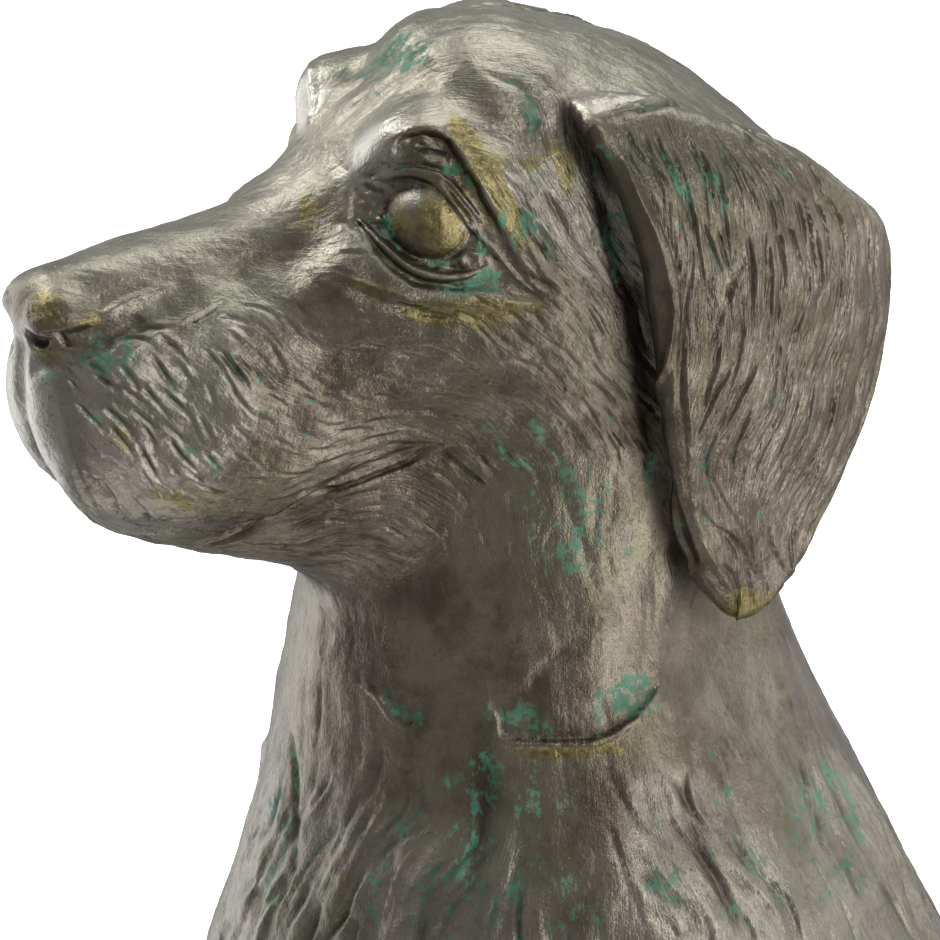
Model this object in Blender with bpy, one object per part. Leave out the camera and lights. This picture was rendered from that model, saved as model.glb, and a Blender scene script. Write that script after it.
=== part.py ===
"""Dog's head bust, a single cast piece cut flat below.

A drop-eared retriever's head looks to its own right over a bell-shaped neck
and chest.  World frame: +Z up, origin in the middle of the flat underside,
the chest faces -Y, the dog's left is +X.  Lengths below are millimetres and
are turned into metres when the mesh is finished.
"""
import bpy
import bmesh
import numpy as np
from math import cos, radians, sin, sqrt
from mathutils import Matrix, Vector

# ---------------------------------------------------------------- driving dimensions
MM = 0.001
HEAD_AT = (-37.0, -36.0, 224.0)      # point between the eyes, over the underside
HEAD_TURN = 47.0                     # the head looks this far to the dog's right
HEAD_TILT = -2.0                     # and leans this much to one side
MUZZLE_END = 90.0                    # front of the nose, ahead of the point between the eyes
MUZZLE_DEPTH = 17.0                  # half height of the bridge of the muzzle
SKULL_END = -108.0                   # back of the skull
EAR_THICK = 7.0                      # the hanging ear, as a leaf of metal
EAR_COVER = 4.5                      # how far the ear's rim stands over the cheek behind it
EYE_AT = (1.0, 37.5, -4.5)           # middle of the left eye on the face
EYE_OUT = (0.39, 0.85, 0.34)         # the way it looks
BALL_R = 9.7                         # eyeball
BALL_SINK = 9.0                      # its middle, under the face
SOCKET_DEPTH = 5.6
GROOVE = 1.5                         # radius of the tool that cut mouth, lip and nostril lines
VOXEL_BODY, VOXEL_FINE = 2.4, 1.8    # grain of the fused shapes
TRIANGLES = 9300

# stations along the muzzle and skull, in the head's frame (x ahead, z up)
BRIDGE = dict(x=[-30, -15, 0, 10, 20, 30, 40, 55, 72, 86, 100], top=[22, 19, 12, 7, -1, -7, -10, -12.5, -15.3, -19, -28],
              half=[26, 24, 22, 20, 18, 16.6, 15.7, 15, 13.2, 10.8, 8])
SKULL = dict(x=[-115, -107, -100, -90, -80, -70, -60, -50, -40, -30, -20, -13, -6, 0, 10, 20],
             top=[-22, -10, -2, 7, 14.5, 20.5, 24.5, 27.5, 30.5, 32.5, 32.5, 30.5, 25, 18, 6, -10],
             half=[20, 28, 34, 40, 44, 46, 46.5, 46, 44.5, 42, 38, 35, 31, 28, 21, 15],
             mid=[-39, -36.5, -32, -26, -21, -17, -14, -12.7, -11.7, -10.7, -10, -12, -14, -16, -20, -24])
# the neck, by height above the underside: middle (x, y) and half widths
NECK = dict(z=[-8, 0, 15, 30, 50, 70, 90, 110, 150, 185, 210],
            x=[6, 6, 5, 3.5, 1.0, -2.2, -4.8, -6.5, -5, -1, 2], y=[2, 2, 1.6, 1.1, 0.4, -0.3, -1.2, -2, -2, -0.5, 1.5],
            rx=[103, 100, 94, 87, 79, 71.5, 65, 59.5, 53, 46.5, 41], ry=[81.5, 80.5, 78.5, 76, 72, 68, 64, 60, 52, 46, 41])
# lumps of the face: middle, half widths, swing about y in degrees, and how softly each runs into the rest;
# the ones off the middle come in pairs
CHEEKS = [((-28, 28, -28), (44, 21, 28), 0, 14), ((-42, 33, -50), (34, 17, 36), 0, 16), ((2, 22, -36), (34, 16, 26), 0, 16),
          ((-74, 22, -62), (38, 26, 52), 0, 18), ((-82, 30, -52), (31, 23, 46), 0, 16)]
FACE = [((50, 14, -52), (36, 17, 29), 4, 9), ((24, 20, -54), (38, 17, 28), 0, 12), ((71, 9.5, -52), (17.5, 13.5, 25), 0, 8),
        ((26, 0, -77), (46, 20, 19.5), 0, 8), ((64, 0, -70), (16, 14, 15), 0, 7), ((-12, 0, -80), (55, 34, 24), 0, 14),
        ((82.5, 0, -28), (9, 13.5, 8), 0, 4), ((83.5, 8.5, -28.5), (8, 6.8, 7), 0, 3), ((-3, 22, 6.5), (13, 12.5, 12.5), 0, 7),
        ((-15, 33, -2), (16, 9, 11), 0, 8)]
# outline of the left ear seen from the side, front top corner first
EAR = [(-34, 21), (-38, 8), (-43, -12), (-46.5, -35), (-49, -60), (-53, -82), (-61, -99), (-71, -110), (-81, -107),
       (-90.5, -96), (-100.5, -79), (-110, -59), (-115.5, -36), (-112, -16), (-99, -3.5), (-85, 7.5), (-67, 15.5), (-48, 21.5)]
EAR_MID = (-74.0, -42.0)
EAR_OUT = dict(z=[-115, -85, -50, -20, 0, 12, 24], y=[59, 61, 65, 65, 60, 51, 40])
# the eye's opening and lids, on the plane the eye looks from (u to the back of the head, v up)
OPENING = [(-17.5, 3.5), (-15.5, 9), (-12.5, 14.2), (-8.5, 18.4), (-3, 20.2), (2, 19.6), (5.5, 16), (9, 9.5), (12.5, 2.5),
           (16.5, -6), (19.5, -13), (20.5, -16.5), (13, -15.5), (4, -14.6), (-4, -13.2), (-10.5, -9.2), (-15.5, -3.0)]
UPPER_LID = [(-12.5, 9.5), (-8, 11.6), (-3, 12.2), (1.5, 10.6), (5, 6.6), (8.5, 1.6), (12, -4), (15, -9.5), (18, -14), (21, -17.8)]
LOWER_LID = [(-16, -1.6), (-14, -4.2), (-11.4, -7.2), (-8.6, -9.6), (-5.2, -11.4), (-1.5, -12.6), (3, -12.8), (7.5, -12.2), (11.5, -10.8), (15, -10.2)]
# lines cut into the face, in the head's frame
MOUTH = [(66, 6, -93), (55, 12, -91.5), (46, 19, -87), (39.5, 26.5, -81), (32.5, 32, -75), (22.5, 36, -68.5), (9.5, 37, -65), (-1, 39, -64)]
NOSTRIL = [(91.5, 8, -32), (88.5, 12, -31.6), (85, 15.5, -30.4), (79, 18, -29)]
LIP_SPLIT = [(92, 0, -37), (93.5, 0, -46), (93.5, 0, -56), (91, 0, -66), (86, 0, -76)]


# ---------------------------------------------------------------- frames and small helpers
def frame_of_head():
    a, t = radians(HEAD_TURN), radians(HEAD_TILT)
    ahead = Vector((-sin(a), -cos(a), 0.0))
    left = Vector((cos(a) * cos(t), -sin(a) * cos(t), sin(t)))
    up = ahead.cross(left)
    m = Matrix((ahead, left, up)).transposed().to_4x4()
    m.translation = Vector(HEAD_AT)
    return m


def along(table, key, by, n):
    """Evenly spaced stations between a table's own."""
    s = np.linspace(0, len(table[by]) - 1, n)
    i = np.arange(len(table[by]))
    return [np.interp(s, i, table[k]) for k in ([by] + key)]


def smooth_line(points, n=5):
    """A curve through the points, n steps to each gap."""
    p = [Vector(v) for v in points]
    p = [2 * p[0] - p[1]] + p + [2 * p[-1] - p[-2]]
    out = []
    for a, b, c, d in zip(p, p[1:], p[2:], p[3:]):
        for k in range(n):
            t = k / n
            out.append(0.5 * (2 * b + (c - a) * t + (2 * a - 5 * b + 4 * c - d) * t * t + (3 * b - a - 3 * c + d) * t ** 3))
    return out + [p[-2]]


def skin(bm, rings):
    """Closes a stack of equal rings into a body, with a fan at each end."""
    loops = [[bm.verts.new(v) for v in ring] for ring in rings]
    n = len(loops[0])
    for low, high in zip(loops, loops[1:]):
        for i in range(n):
            bm.faces.new((low[i], low[(i + 1) % n], high[(i + 1) % n], high[i]))
    for ring, flip in ((loops[0], True), (loops[-1], False)):
        hub = bm.verts.new(sum((v.co for v in ring), Vector()) / n)
        for i in range(n):
            f = (ring[i], ring[(i + 1) % n], hub)
            bm.faces.new(f[::-1] if flip else f)


def lump(bm, middle, half, swing=0.0):
    """An egg-shaped mass; one off the middle plane gets its twin on the other side."""
    for side in ((1, -1) if middle[1] else (1,)):
        m = Matrix.Translation((middle[0], side * middle[1], middle[2])) @ Matrix.Rotation(radians(swing), 4, "Y") @ Matrix.Diagonal((*half, 1))
        bmesh.ops.create_uvsphere(bm, u_segments=40, v_segments=24, radius=1.0, matrix=m)


def tube(bm, line, radius, sides=10, blunt=0.6):
    """A round rod along a line, thinner at its ends."""
    line = [Vector(v) for v in line]
    rings = []
    for k, p in enumerate(line):
        t = (line[min(k + 1, len(line) - 1)] - line[max(k - 1, 0)]).normalized()
        side = t.cross(Vector((0.31, 0.2, 0.93))).normalized()
        other = t.cross(side)
        r = radius * (blunt + (1 - blunt) * sqrt(sin(3.14159 * k / (len(line) - 1)) + 1e-6))
        rings.append([p + r * (cos(a) * side + sin(a) * other) for a in np.linspace(0, 2 * np.pi, sides, endpoint=False)])
    skin(bm, rings)


def egg_ring(half, low, high, n=56, power=2.3):
    """Section across the head: half width and the heights of its lower and upper edge."""
    mid, h = (low + high) / 2, (high - low) / 2
    out = []
    for a in np.linspace(0, 2 * np.pi, n, endpoint=False):
        c, s = cos(a), sin(a)
        out.append((half * abs(c) ** (2 / power) * np.sign(c), mid + h * abs(s) ** (2 / power) * np.sign(s)))
    return out


def new_object(name, bm):
    bmesh.ops.recalc_face_normals(bm, faces=bm.faces)
    mesh = bpy.data.meshes.new(name)
    bm.to_mesh(mesh)
    bm.free()
    obj = bpy.data.objects.new(name, mesh)
    bpy.context.collection.objects.link(obj)
    return obj


def settle(obj):
    """Turns the object's modifiers into its mesh."""
    bpy.context.view_layer.update()
    graph = bpy.context.evaluated_depsgraph_get()
    mesh = bpy.data.meshes.new_from_object(obj.evaluated_get(graph))
    obj.modifiers.clear()
    obj.data = mesh
    return obj


def fuse(obj, grain, rounds):
    m = obj.modifiers.new("fuse", "REMESH")
    m.mode, m.voxel_size = "VOXEL", grain
    s = obj.modifiers.new("soften", "SMOOTH")
    s.factor, s.iterations = 0.5, rounds
    return settle(obj)


def cut(obj, cutter):
    m = obj.modifiers.new("cut", "BOOLEAN")
    m.operation, m.object = "DIFFERENCE", cutter
    settle(obj)
    bpy.data.objects.remove(cutter)


def merged(bm, obj):
    """Adds an object's mesh to a bmesh and drops the object."""
    bm.from_mesh(obj.data)
    bpy.data.objects.remove(obj)


# ---------------------------------------------------------------- the blended form
def soft_min(a, b, k):
    h = np.maximum(k - np.abs(a - b), 0.0) / k
    return np.minimum(a, b) - h * h * k * 0.25


def soft_max(a, b, k):
    return -soft_min(-a, -b, k)


def soft_abs(y, e):
    return np.sqrt(y * y + e * e)


def egg_gap(p, middle, half, swing):
    """Signed distance, near enough, to an egg-shaped mass."""
    a = radians(swing)
    x, y, z = (p - np.array(middle, float)).T
    q = np.stack([x * cos(a) - z * sin(a), y, x * sin(a) + z * cos(a)], 1)
    r = np.array(half, float)
    k0 = np.sqrt(((q / r) ** 2).sum(1))
    k1 = np.sqrt(((q / (r * r)) ** 2).sum(1))
    return k0 * (k0 - 1.0) / np.maximum(k1, 1e-9)


def lofted_gap(y, z, half, mid, high, power):
    e = ((np.abs(y) / half) ** power + (np.abs(z - mid) / high) ** power + 1e-9) ** (1 / power)
    return (e - 1) * np.minimum(half, high)


def station(table, key, at):
    return np.interp(at, table[next(iter(table))], table[key])


def bend_of_ear(x, z):
    return np.interp(z, EAR_OUT["z"], EAR_OUT["y"]) - 15.0 * ((x + 68.0) / 45.0) ** 2 * np.where(x < -68, 1.0, 0.6)


def blended(p, head):
    """Signed distance, near enough, to neck and head run together, at points of the head's frame."""
    x, y, z = p.T
    q = np.stack([x, soft_abs(y, 1.0), z], 1)
    w = np.stack([x, soft_abs(y, 6.0), z], 1)
    mid = station(SKULL, "mid", x)
    d = lofted_gap(q[:, 1], z, station(SKULL, "half", x), mid, np.maximum(station(SKULL, "top", x) - mid, 6), 2.15) * 0.92
    d = soft_max(soft_max(d, x - 14.0, 10.0), SKULL_END - x, 14.0)
    for middle, half, swing, k in CHEEKS:
        d = soft_min(d, egg_gap(w, middle, half, swing), k)
    b = lofted_gap(q[:, 1], z, station(BRIDGE, "half", x), station(BRIDGE, "top", x) - MUZZLE_DEPTH, MUZZLE_DEPTH, 2.6)
    d = soft_min(d, soft_max(soft_max(b, x - MUZZLE_END, 8.0), -25.0 - x, 6.0), 9.0)
    for middle, half, swing, k in FACE:
        d = soft_min(d, egg_gap(q, middle, half, swing), k)
    m = np.array(head)
    g = p @ m[:3, :3].T + m[:3, 3]
    rx, ry = station(NECK, "rx", g[:, 2]), station(NECK, "ry", g[:, 2])
    n = np.sqrt(((g[:, 0] - station(NECK, "x", g[:, 2])) / rx) ** 2 + ((g[:, 1] - station(NECK, "y", g[:, 2])) / ry) ** 2)
    n = soft_max((n - 1) * np.minimum(rx, ry) * 0.95, g[:, 2] - 208.0, 20.0)
    d = soft_min(d, n, 18.0)
    # the neck draws in a little behind the tips of the ears
    d = d + 6.0 * np.exp(-(((q - np.array([-72, 56, -112])) / np.array([22, 24, 26])) ** 2).sum(1))
    # and the cheek comes out to meet the ear
    rim = np.array([(v.x, v.z) for v in smooth_line([(a, 0, b) for a, b in EAR + EAR[:1]], 3)])
    cover = distance_to_loop(x, z, rim) + EAR_COVER
    under = soft_max(soft_max(soft_max(cover, q[:, 1] - bend_of_ear(x, z), 2.0), 24.0 - q[:, 1], 2.0), -88.0 - x, 8.0)
    return soft_min(d, under, 12.0)


def distance_to_loop(x, z, loop):
    """Distance in the plane to a closed line, minus inside it."""
    best = np.full(len(x), 1e9)
    odd = np.zeros(len(x), bool)
    for (ax, az), (bx, bz) in zip(loop[:-1], loop[1:]):
        ex, ez = bx - ax, bz - az
        t = np.clip(((x - ax) * ex + (z - az) * ez) / max(ex * ex + ez * ez, 1e-9), 0, 1)
        best = np.minimum(best, (x - ax - t * ex) ** 2 + (z - az - t * ez) ** 2)
        if az != bz:
            odd ^= ((az > z) != (bz > z)) & (x < ex * (z - az) / ez + ax)
    return np.where(odd, -np.sqrt(best), np.sqrt(best))


def run_together(obj, head):
    """Moves the vertices of the fused masses onto the blended form."""
    co = np.empty(len(obj.data.vertices) * 3, np.float32)
    obj.data.vertices.foreach_get("co", co)
    p = co.reshape(-1, 3).astype(float)
    for _ in range(7):
        d = blended(p, head)
        g = np.stack([blended(p + 0.4 * np.eye(3)[i], head) - d for i in range(3)], 1) / 0.4
        g /= np.maximum((g * g).sum(1), 0.2)[:, None]
        p -= np.clip(d, -2.5, 2.5)[:, None] * g
    obj.data.vertices.foreach_set("co", p.astype(np.float32).ravel())
    obj.data.update()


# ---------------------------------------------------------------- the masses
def neck_body(bm, to_head):
    """Lofted bell of neck and chest, written in the head's frame like everything else."""
    z, x, y, rx, ry = along(NECK, ["x", "y", "rx", "ry"], "z", 41)
    rings = []
    for k in range(len(z)):
        ring = [Vector((x[k] + rx[k] * cos(a), y[k] + ry[k] * sin(a), z[k])) for a in np.linspace(0, 2 * np.pi, 64, endpoint=False)]
        rings.append([to_head @ v for v in ring])
    skin(bm, rings)


def skull_body(bm):
    x, top, half, mid = along(SKULL, ["top", "half", "mid"], "x", 46)
    rings = []
    for k in np.flatnonzero(x > SKULL_END):
        end = min(1.0, (x[k] - SKULL_END) / 10.0)
        e = sqrt(max(1 - (1 - end) ** 2, 0.08))
        h = (top[k] - mid[k]) * e
        rings.append([Vector((x[k], y, z)) for y, z in egg_ring(half[k] * e, mid[k] - h, mid[k] + h, power=2.15)])
    skin(bm, rings)


def bridge_body(bm):
    x, top, half = along(BRIDGE, ["top", "half"], "x", 41)
    rings = []
    for k in np.flatnonzero(x < MUZZLE_END):
        end = min(1.0, (MUZZLE_END - x[k]) / 7.0)
        e = sqrt(max(1 - (1 - end) ** 2, 0.12))
        mid = top[k] - MUZZLE_DEPTH
        rings.append([Vector((x[k], y, z)) for y, z in egg_ring(half[k] * e, mid - MUZZLE_DEPTH * e, mid + MUZZLE_DEPTH * e, power=2.6)])
    skin(bm, rings)


def ear_leaf(bm, side, shrink, inner=None):
    """A hanging leaf bent round the cheek; with an inner face given it fills down to that depth."""
    rim = smooth_line([(x, 0, z) for x, z in EAR + EAR[:1]], 4)[:-1]
    centre = Vector((EAR_MID[0], 0, EAR_MID[1]))

    def ring(scale, off):
        pts = []
        for p in rim:
            d = p - centre
            q = centre + d * (scale * (1 - shrink / d.length))
            y = float(bend_of_ear(q.x, q.z)) + off if off is not None else inner
            pts.append(Vector((q.x, side * y, q.z)))
        return pts

    t = EAR_THICK / 2
    outside = [ring(s, o) for s, o in ((0.25, t), (0.5, t), (0.72, t), (0.88, t), (0.96, t * 0.8), (1.0, t * 0.25))]
    if inner is None:
        inside = [ring(s, -o) for s, o in ((1.0, t * 0.25), (0.96, t * 0.8), (0.88, t), (0.6, t), (0.25, t))]
    else:
        inside = [ring(s, o) for s, o in ((1.0, -t), (0.96, None), (0.3, None))]
    skin(bm, outside + inside)


def eye_frame():
    w = Vector(EYE_OUT).normalized()
    u = Vector((0, 0, 1)).cross(w).normalized()
    return u, w.cross(u), w


def eye_point(side, u, v, w):
    eu, ev, ew = eye_frame()
    p = Vector(EYE_AT) + u * eu + v * ev + w * ew
    return Vector((p.x, side * p.y, p.z))


def cheek_height(u, v):
    """How far the face stands off the eye's plane."""
    return 0.02 + 0.098 * u - 0.075 * v - 0.0105 * u * u + 0.0052 * u * v - 0.0012 * v * v


def mirrored(line, side):
    return [(x, side * y, z) for x, y, z in line]


# ---------------------------------------------------------------- the bust
def build():
    for obj in list(bpy.data.objects):
        bpy.data.objects.remove(obj)
    head = frame_of_head()
    to_head = head.inverted()

    # soft masses, fused and smoothed
    bm = bmesh.new()
    neck_body(bm, to_head)
    skull_body(bm)
    bridge_body(bm)
    for middle, half, swing, _ in CHEEKS + FACE:
        lump(bm, middle, half, swing)
    for side in (1, -1):
        ear_leaf(bm, side, EAR_COVER, inner=20.0)
    body = fuse(new_object("dog_bust", bm), VOXEL_BODY, 8)
    run_together(body, head)

    # eye openings, nostrils, mouth and lip lines cut into them
    tools = bmesh.new()
    for side in (1, -1):
        rings = [[eye_point(side, k * u, k * v, w) for u, v in OPENING] for k, w in ((0.86, -SOCKET_DEPTH), (0.96, -SOCKET_DEPTH + 1.5), (1.0, 0), (1.02, 14.0))]
        skin(tools, rings)
        tube(tools, smooth_line(mirrored(MOUTH, side)), GROOVE * 1.2)
        tube(tools, smooth_line(mirrored(NOSTRIL, side)), GROOVE * 1.3)
    tube(tools, smooth_line(LIP_SPLIT), GROOVE * 1.3)
    tools = new_object("tools", tools)
    tool_mesh = tools.modifiers.new("fuse", "REMESH")
    tool_mesh.mode, tool_mesh.voxel_size = "VOXEL", 0.9
    cut(body, settle(tools))

    # eyeballs, lids and ears added, then all fused again
    bm = bmesh.new()
    merged(bm, body)
    for side in (1, -1):
        c = eye_point(side, -0.3, 0.3, -BALL_SINK)
        bmesh.ops.create_icosphere(bm, subdivisions=4, radius=BALL_R, matrix=Matrix.Translation(c))
        for line, r, sink in ((UPPER_LID, 2.6, 1.4), (LOWER_LID, 1.9, 1.2)):
            tube(bm, smooth_line([eye_point(side, u, v, cheek_height(u, v) - sink) for u, v in line]), r)
        ear_leaf(bm, side, 0.0)
    body = fuse(new_object("dog_bust", bm), VOXEL_FINE, 2)

    # fewer faces, then the flat underside
    thin = body.modifiers.new("thin", "DECIMATE")
    thin.ratio = TRIANGLES / (2.0 * len(body.data.polygons))
    thin.use_collapse_triangulate = True
    settle(body)
    bm = bmesh.new()
    bm.from_mesh(body.data)
    bm.transform(head)
    low = bmesh.ops.bisect_plane(bm, geom=bm.verts[:] + bm.edges[:] + bm.faces[:], dist=1e-4, plane_co=(0, 0, 0), plane_no=(0, 0, 1), clear_inner=True)
    rim = [e for e in low["geom_cut"] if isinstance(e, bmesh.types.BMEdge)]
    bmesh.ops.edgeloop_fill(bm, edges=rim)
    bmesh.ops.triangulate(bm, faces=bm.faces)
    bm.transform(Matrix.Scale(MM, 4))
    bmesh.ops.recalc_face_normals(bm, faces=bm.faces)
    mesh = bpy.data.meshes.new("dog_bust")
    bm.to_mesh(mesh)
    bm.free()
    body.data = mesh
    body.name = "dog_bust"
    mesh.shade_smooth()
    mesh.set_sharp_from_angle(angle=radians(50))

    metal = bpy.data.materials.new("aged_bronze")
    metal.use_nodes = True
    shader = metal.node_tree.nodes["Principled BSDF"]
    shader.inputs["Base Color"].default_value = (0.085, 0.072, 0.055, 1.0)
    shader.inputs["Metallic"].default_value = 0.75
    shader.inputs["Roughness"].default_value = 0.38
    mesh.materials.append(metal)


build()
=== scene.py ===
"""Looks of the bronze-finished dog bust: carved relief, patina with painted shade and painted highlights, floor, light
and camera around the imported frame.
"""

import bpy
import numpy as np
import openvdb
from mathutils import Matrix, Vector
from mathutils.kdtree import KDTree


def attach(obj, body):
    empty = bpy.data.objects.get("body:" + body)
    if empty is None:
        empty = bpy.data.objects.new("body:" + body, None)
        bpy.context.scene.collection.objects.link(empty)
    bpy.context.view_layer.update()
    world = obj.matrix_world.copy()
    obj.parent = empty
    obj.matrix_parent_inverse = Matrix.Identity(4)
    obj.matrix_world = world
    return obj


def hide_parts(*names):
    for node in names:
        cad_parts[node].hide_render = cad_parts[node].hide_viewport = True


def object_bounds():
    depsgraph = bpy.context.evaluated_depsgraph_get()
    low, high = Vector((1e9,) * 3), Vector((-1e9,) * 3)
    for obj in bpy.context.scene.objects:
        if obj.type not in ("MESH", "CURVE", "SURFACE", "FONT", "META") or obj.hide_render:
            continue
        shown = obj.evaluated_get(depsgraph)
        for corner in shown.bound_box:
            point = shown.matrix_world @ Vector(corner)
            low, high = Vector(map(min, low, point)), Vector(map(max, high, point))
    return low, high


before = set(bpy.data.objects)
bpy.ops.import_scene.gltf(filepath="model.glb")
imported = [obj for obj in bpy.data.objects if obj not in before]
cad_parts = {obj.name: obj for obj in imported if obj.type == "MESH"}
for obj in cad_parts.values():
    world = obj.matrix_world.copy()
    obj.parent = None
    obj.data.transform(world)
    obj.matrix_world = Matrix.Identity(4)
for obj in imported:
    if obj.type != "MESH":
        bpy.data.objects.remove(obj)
CAD_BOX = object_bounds()

# =====================================================================================
# 1. The form, as a signed distance in millimetres.
#    World: +Z up, chest towards -Y.  Head frame: x forward, y to the dog's left, z up.
# =====================================================================================
CELL = 0.8                       # mesh cell, mm
TRIANGLES = 194000               # of the finished mesh
HEAD_AT = np.array([-37.0, -36.0, 224.0])
HEAD_TURN, HEAD_TILT = 47.0, 2.0


def head_axes():
    a, c = np.radians([HEAD_TURN, HEAD_TILT])
    f = np.array([-np.sin(a), -np.cos(a), 0.0])
    l = np.array([np.cos(a), -np.sin(a), 0.0])
    u = np.array([0, 0, 1.0])
    return np.stack([f, l * np.cos(c) - u * np.sin(c), u * np.cos(c) + l * np.sin(c)])


HEAD = head_axes()


def to_head(p):
    return (p - HEAD_AT) @ HEAD.T


def to_world(h):
    return np.asarray(h, float) @ HEAD + HEAD_AT


def smin(a, b, k):
    h = np.maximum(k - np.abs(a - b), 0.0) / k
    return np.minimum(a, b) - h * h * k * 0.25


def smax(a, b, k):
    return -smin(-a, -b, k)


def step(x):
    x = np.clip(x, 0, 1)
    return x * x * (3 - 2 * x)


def curve(xs, ys):
    """A smooth run through a few stations (monotone cubic)."""
    xs, ys = np.asarray(xs, float), np.asarray(ys, float)
    o = np.argsort(xs)
    xs, ys = xs[o], ys[o]
    h = np.diff(xs)
    m = np.diff(ys) / h
    t = np.zeros(len(xs))
    t[0], t[-1] = m[0], m[-1]
    for i in range(1, len(xs) - 1):
        if m[i - 1] * m[i] > 0:
            w1, w2 = 2 * h[i] + h[i - 1], h[i] + 2 * h[i - 1]
            t[i] = (w1 + w2) / (w1 / m[i - 1] + w2 / m[i])

    def at(x):
        x = np.clip(x, xs[0], xs[-1])
        i = np.clip(np.searchsorted(xs, x) - 1, 0, len(h) - 1)
        s = (x - xs[i]) / h[i]
        return ((1 + 2 * s) * (1 - s) ** 2 * ys[i] + s * (1 - s) ** 2 * h[i] * t[i]
                + s * s * (3 - 2 * s) * ys[i + 1] + s * s * (s - 1) * h[i] * t[i + 1])
    return at


def turn_y(deg):
    c, s = np.cos(np.radians(deg)), np.sin(np.radians(deg))
    return np.array([[c, 0, s], [0, 1, 0], [-s, 0, c]])


def ellipsoid(p, centre, radii, turn=None):
    q = p - np.asarray(centre, float)
    if turn is not None:
        q = q @ turn
    r = np.asarray(radii, float)
    k0 = np.sqrt(((q / r) ** 2).sum(1))
    k1 = np.sqrt(((q / (r * r)) ** 2).sum(1))
    return k0 * (k0 - 1.0) / np.maximum(k1, 1e-9)


def catmull(points, n=8):
    """Points along a smooth curve through a few named ones; columns past the third go along."""
    p = np.asarray(points, float)
    p = np.vstack([2 * p[0] - p[1], p, 2 * p[-1] - p[-2]])
    t = np.linspace(0, 1, n, endpoint=False)[:, None]
    out = []
    for i in range(1, len(p) - 2):
        a, b, c, d = p[i - 1], p[i], p[i + 1], p[i + 2]
        out.append(0.5 * (2 * b + (c - a) * t + (2 * a - 5 * b + 4 * c - d) * t * t + (3 * b - a - 3 * c + d) * t ** 3))
    out.append(p[-2][None])
    return np.vstack(out)


class Field:
    """A signed distance, built up piece by piece; each piece is worked out only near itself."""

    def __init__(self, p):
        self.p = p
        self.d = np.full(len(p), 60.0)

    def near(self, lo, hi, m):
        return np.flatnonzero(((self.p > np.asarray(lo) - m) & (self.p < np.asarray(hi) + m)).all(1))

    def put(self, i, e, k, cut=False):
        self.d[i] = smax(self.d[i], -e, k) if cut else smin(self.d[i], e, k)

    def ball(self, centre, radii, k, turn=None, cut=False, m=30.0):
        r = np.max(radii) if turn is not None else np.asarray(radii, float)
        c = np.asarray(centre, float)
        i = self.near(c - r, c + r, m)
        if len(i):
            self.put(i, ellipsoid(self.p[i], centre, radii, turn), k, cut)

    def groove(self, points, depth, width, n=6):
        """Presses a soft groove (or, with a negative depth, raises a ridge) of that width along a line."""
        q = np.asarray(points, float)
        q = np.hstack([q[:, :3], q[:, 3:] if q.shape[1] > 3 else np.ones((len(q), 1))])
        i = self.near(q[:, :3].min(0), q[:, :3].max(0), 3 * width)
        if not len(i):
            return
        line = catmull(q, n)
        p = self.p[i]
        best = np.full(len(p), 1e9)
        share = np.zeros(len(p))
        for a, b in zip(line[:-1], line[1:]):
            ab = b[:3] - a[:3]
            t = np.clip((p - a[:3]) @ ab / max(ab @ ab, 1e-9), 0, 1)
            e = np.linalg.norm(p - a[:3] - t[:, None] * ab, axis=1)
            w = a[3] + t * (b[3] - a[3])
            s = e < best
            best[s] = e[s]
            share[s] = w[s]
        self.d[i] += depth * share * np.exp(-(best / width) ** 2)

    def bump(self, centre, radii, height):
        c, r = np.asarray(centre, float), np.asarray(radii, float) * np.ones(3)
        i = self.near(c - 2.2 * r, c + 2.2 * r, 0)
        if len(i):
            self.d[i] -= height * np.exp(-(((self.p[i] - c) / r) ** 2).sum(1))


# ---- muzzle bridge and skull: heights and half widths along the head
TOP = curve([-30, -15, 0, 10, 20, 30, 40, 55, 72, 86, 100], [22, 19, 12, 7, -1, -7, -10, -12.5, -15.3, -19, -28])
HALF = curve([-30, 0, 20, 35, 55, 75, 88, 100], [26, 22, 18, 16, 15, 13.0, 10.5, 8])
CROWN = curve([-115, -107, -100, -90, -80, -70, -60, -50, -40, -30, -20, -13, -6, 0, 10, 20],
              [-22, -10, -2, 7, 14.5, 20.5, 24.5, 27.5, 30.5, 32.5, 32.5, 30.5, 25, 18, 6, -10])
SKULL_HALF = curve([-115, -105, -95, -80, -60, -40, -20, 0, 15], [20, 30, 38, 44, 46.5, 44.5, 38, 28, 18])
SKULL_MID = curve([-110, -90, -60, -20, 20], [-38, -26, -14, -10, -22])


def muzzle_bridge(p, ay):
    x, z = p[:, 0], p[:, 2]
    h, n, zt, w = 17.0, 2.6, TOP(x), HALF(x)
    e = ((np.abs(ay) / w) ** n + (np.abs(z - (zt - h)) / h) ** n + 1e-9) ** (1 / n)
    return smax((e - 1) * np.minimum(w, h), x - 90.5, 8.0)


def skull(p):
    x, z = p[:, 0], p[:, 2]
    zt, zc, w, n = CROWN(x), SKULL_MID(x), SKULL_HALF(x), 2.15
    h = np.maximum(zt - zc, 6.0)
    e = ((np.abs(p[:, 1]) / w) ** n + (np.abs(z - zc) / h) ** n + 1e-9) ** (1 / n)
    return smax(smax((e - 1) * np.minimum(w, h) * 0.92, x - 14.0, 10.0), -x - 108.0, 14.0)


# ---- the drop ear: outline in head (x, z), a leaf that bulges outwards
EAR_RIM = [(-34, 20), (-37, 8), (-41.5, -12), (-45, -35), (-48, -60), (-52, -82), (-60.5, -99), (-71, -110), (-81, -107),
           (-90.5, -96), (-100.5, -79), (-110, -59), (-115.5, -36), (-112, -16), (-99, -3.5), (-85, 7.5), (-67, 15.5), (-48, 21.5)]
EAR_OUT = curve([-115, -85, -50, -20, 0, 12, 24], [58, 61, 65, 65, 60, 51, 40])
EAR_THICK = 7.0


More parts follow.
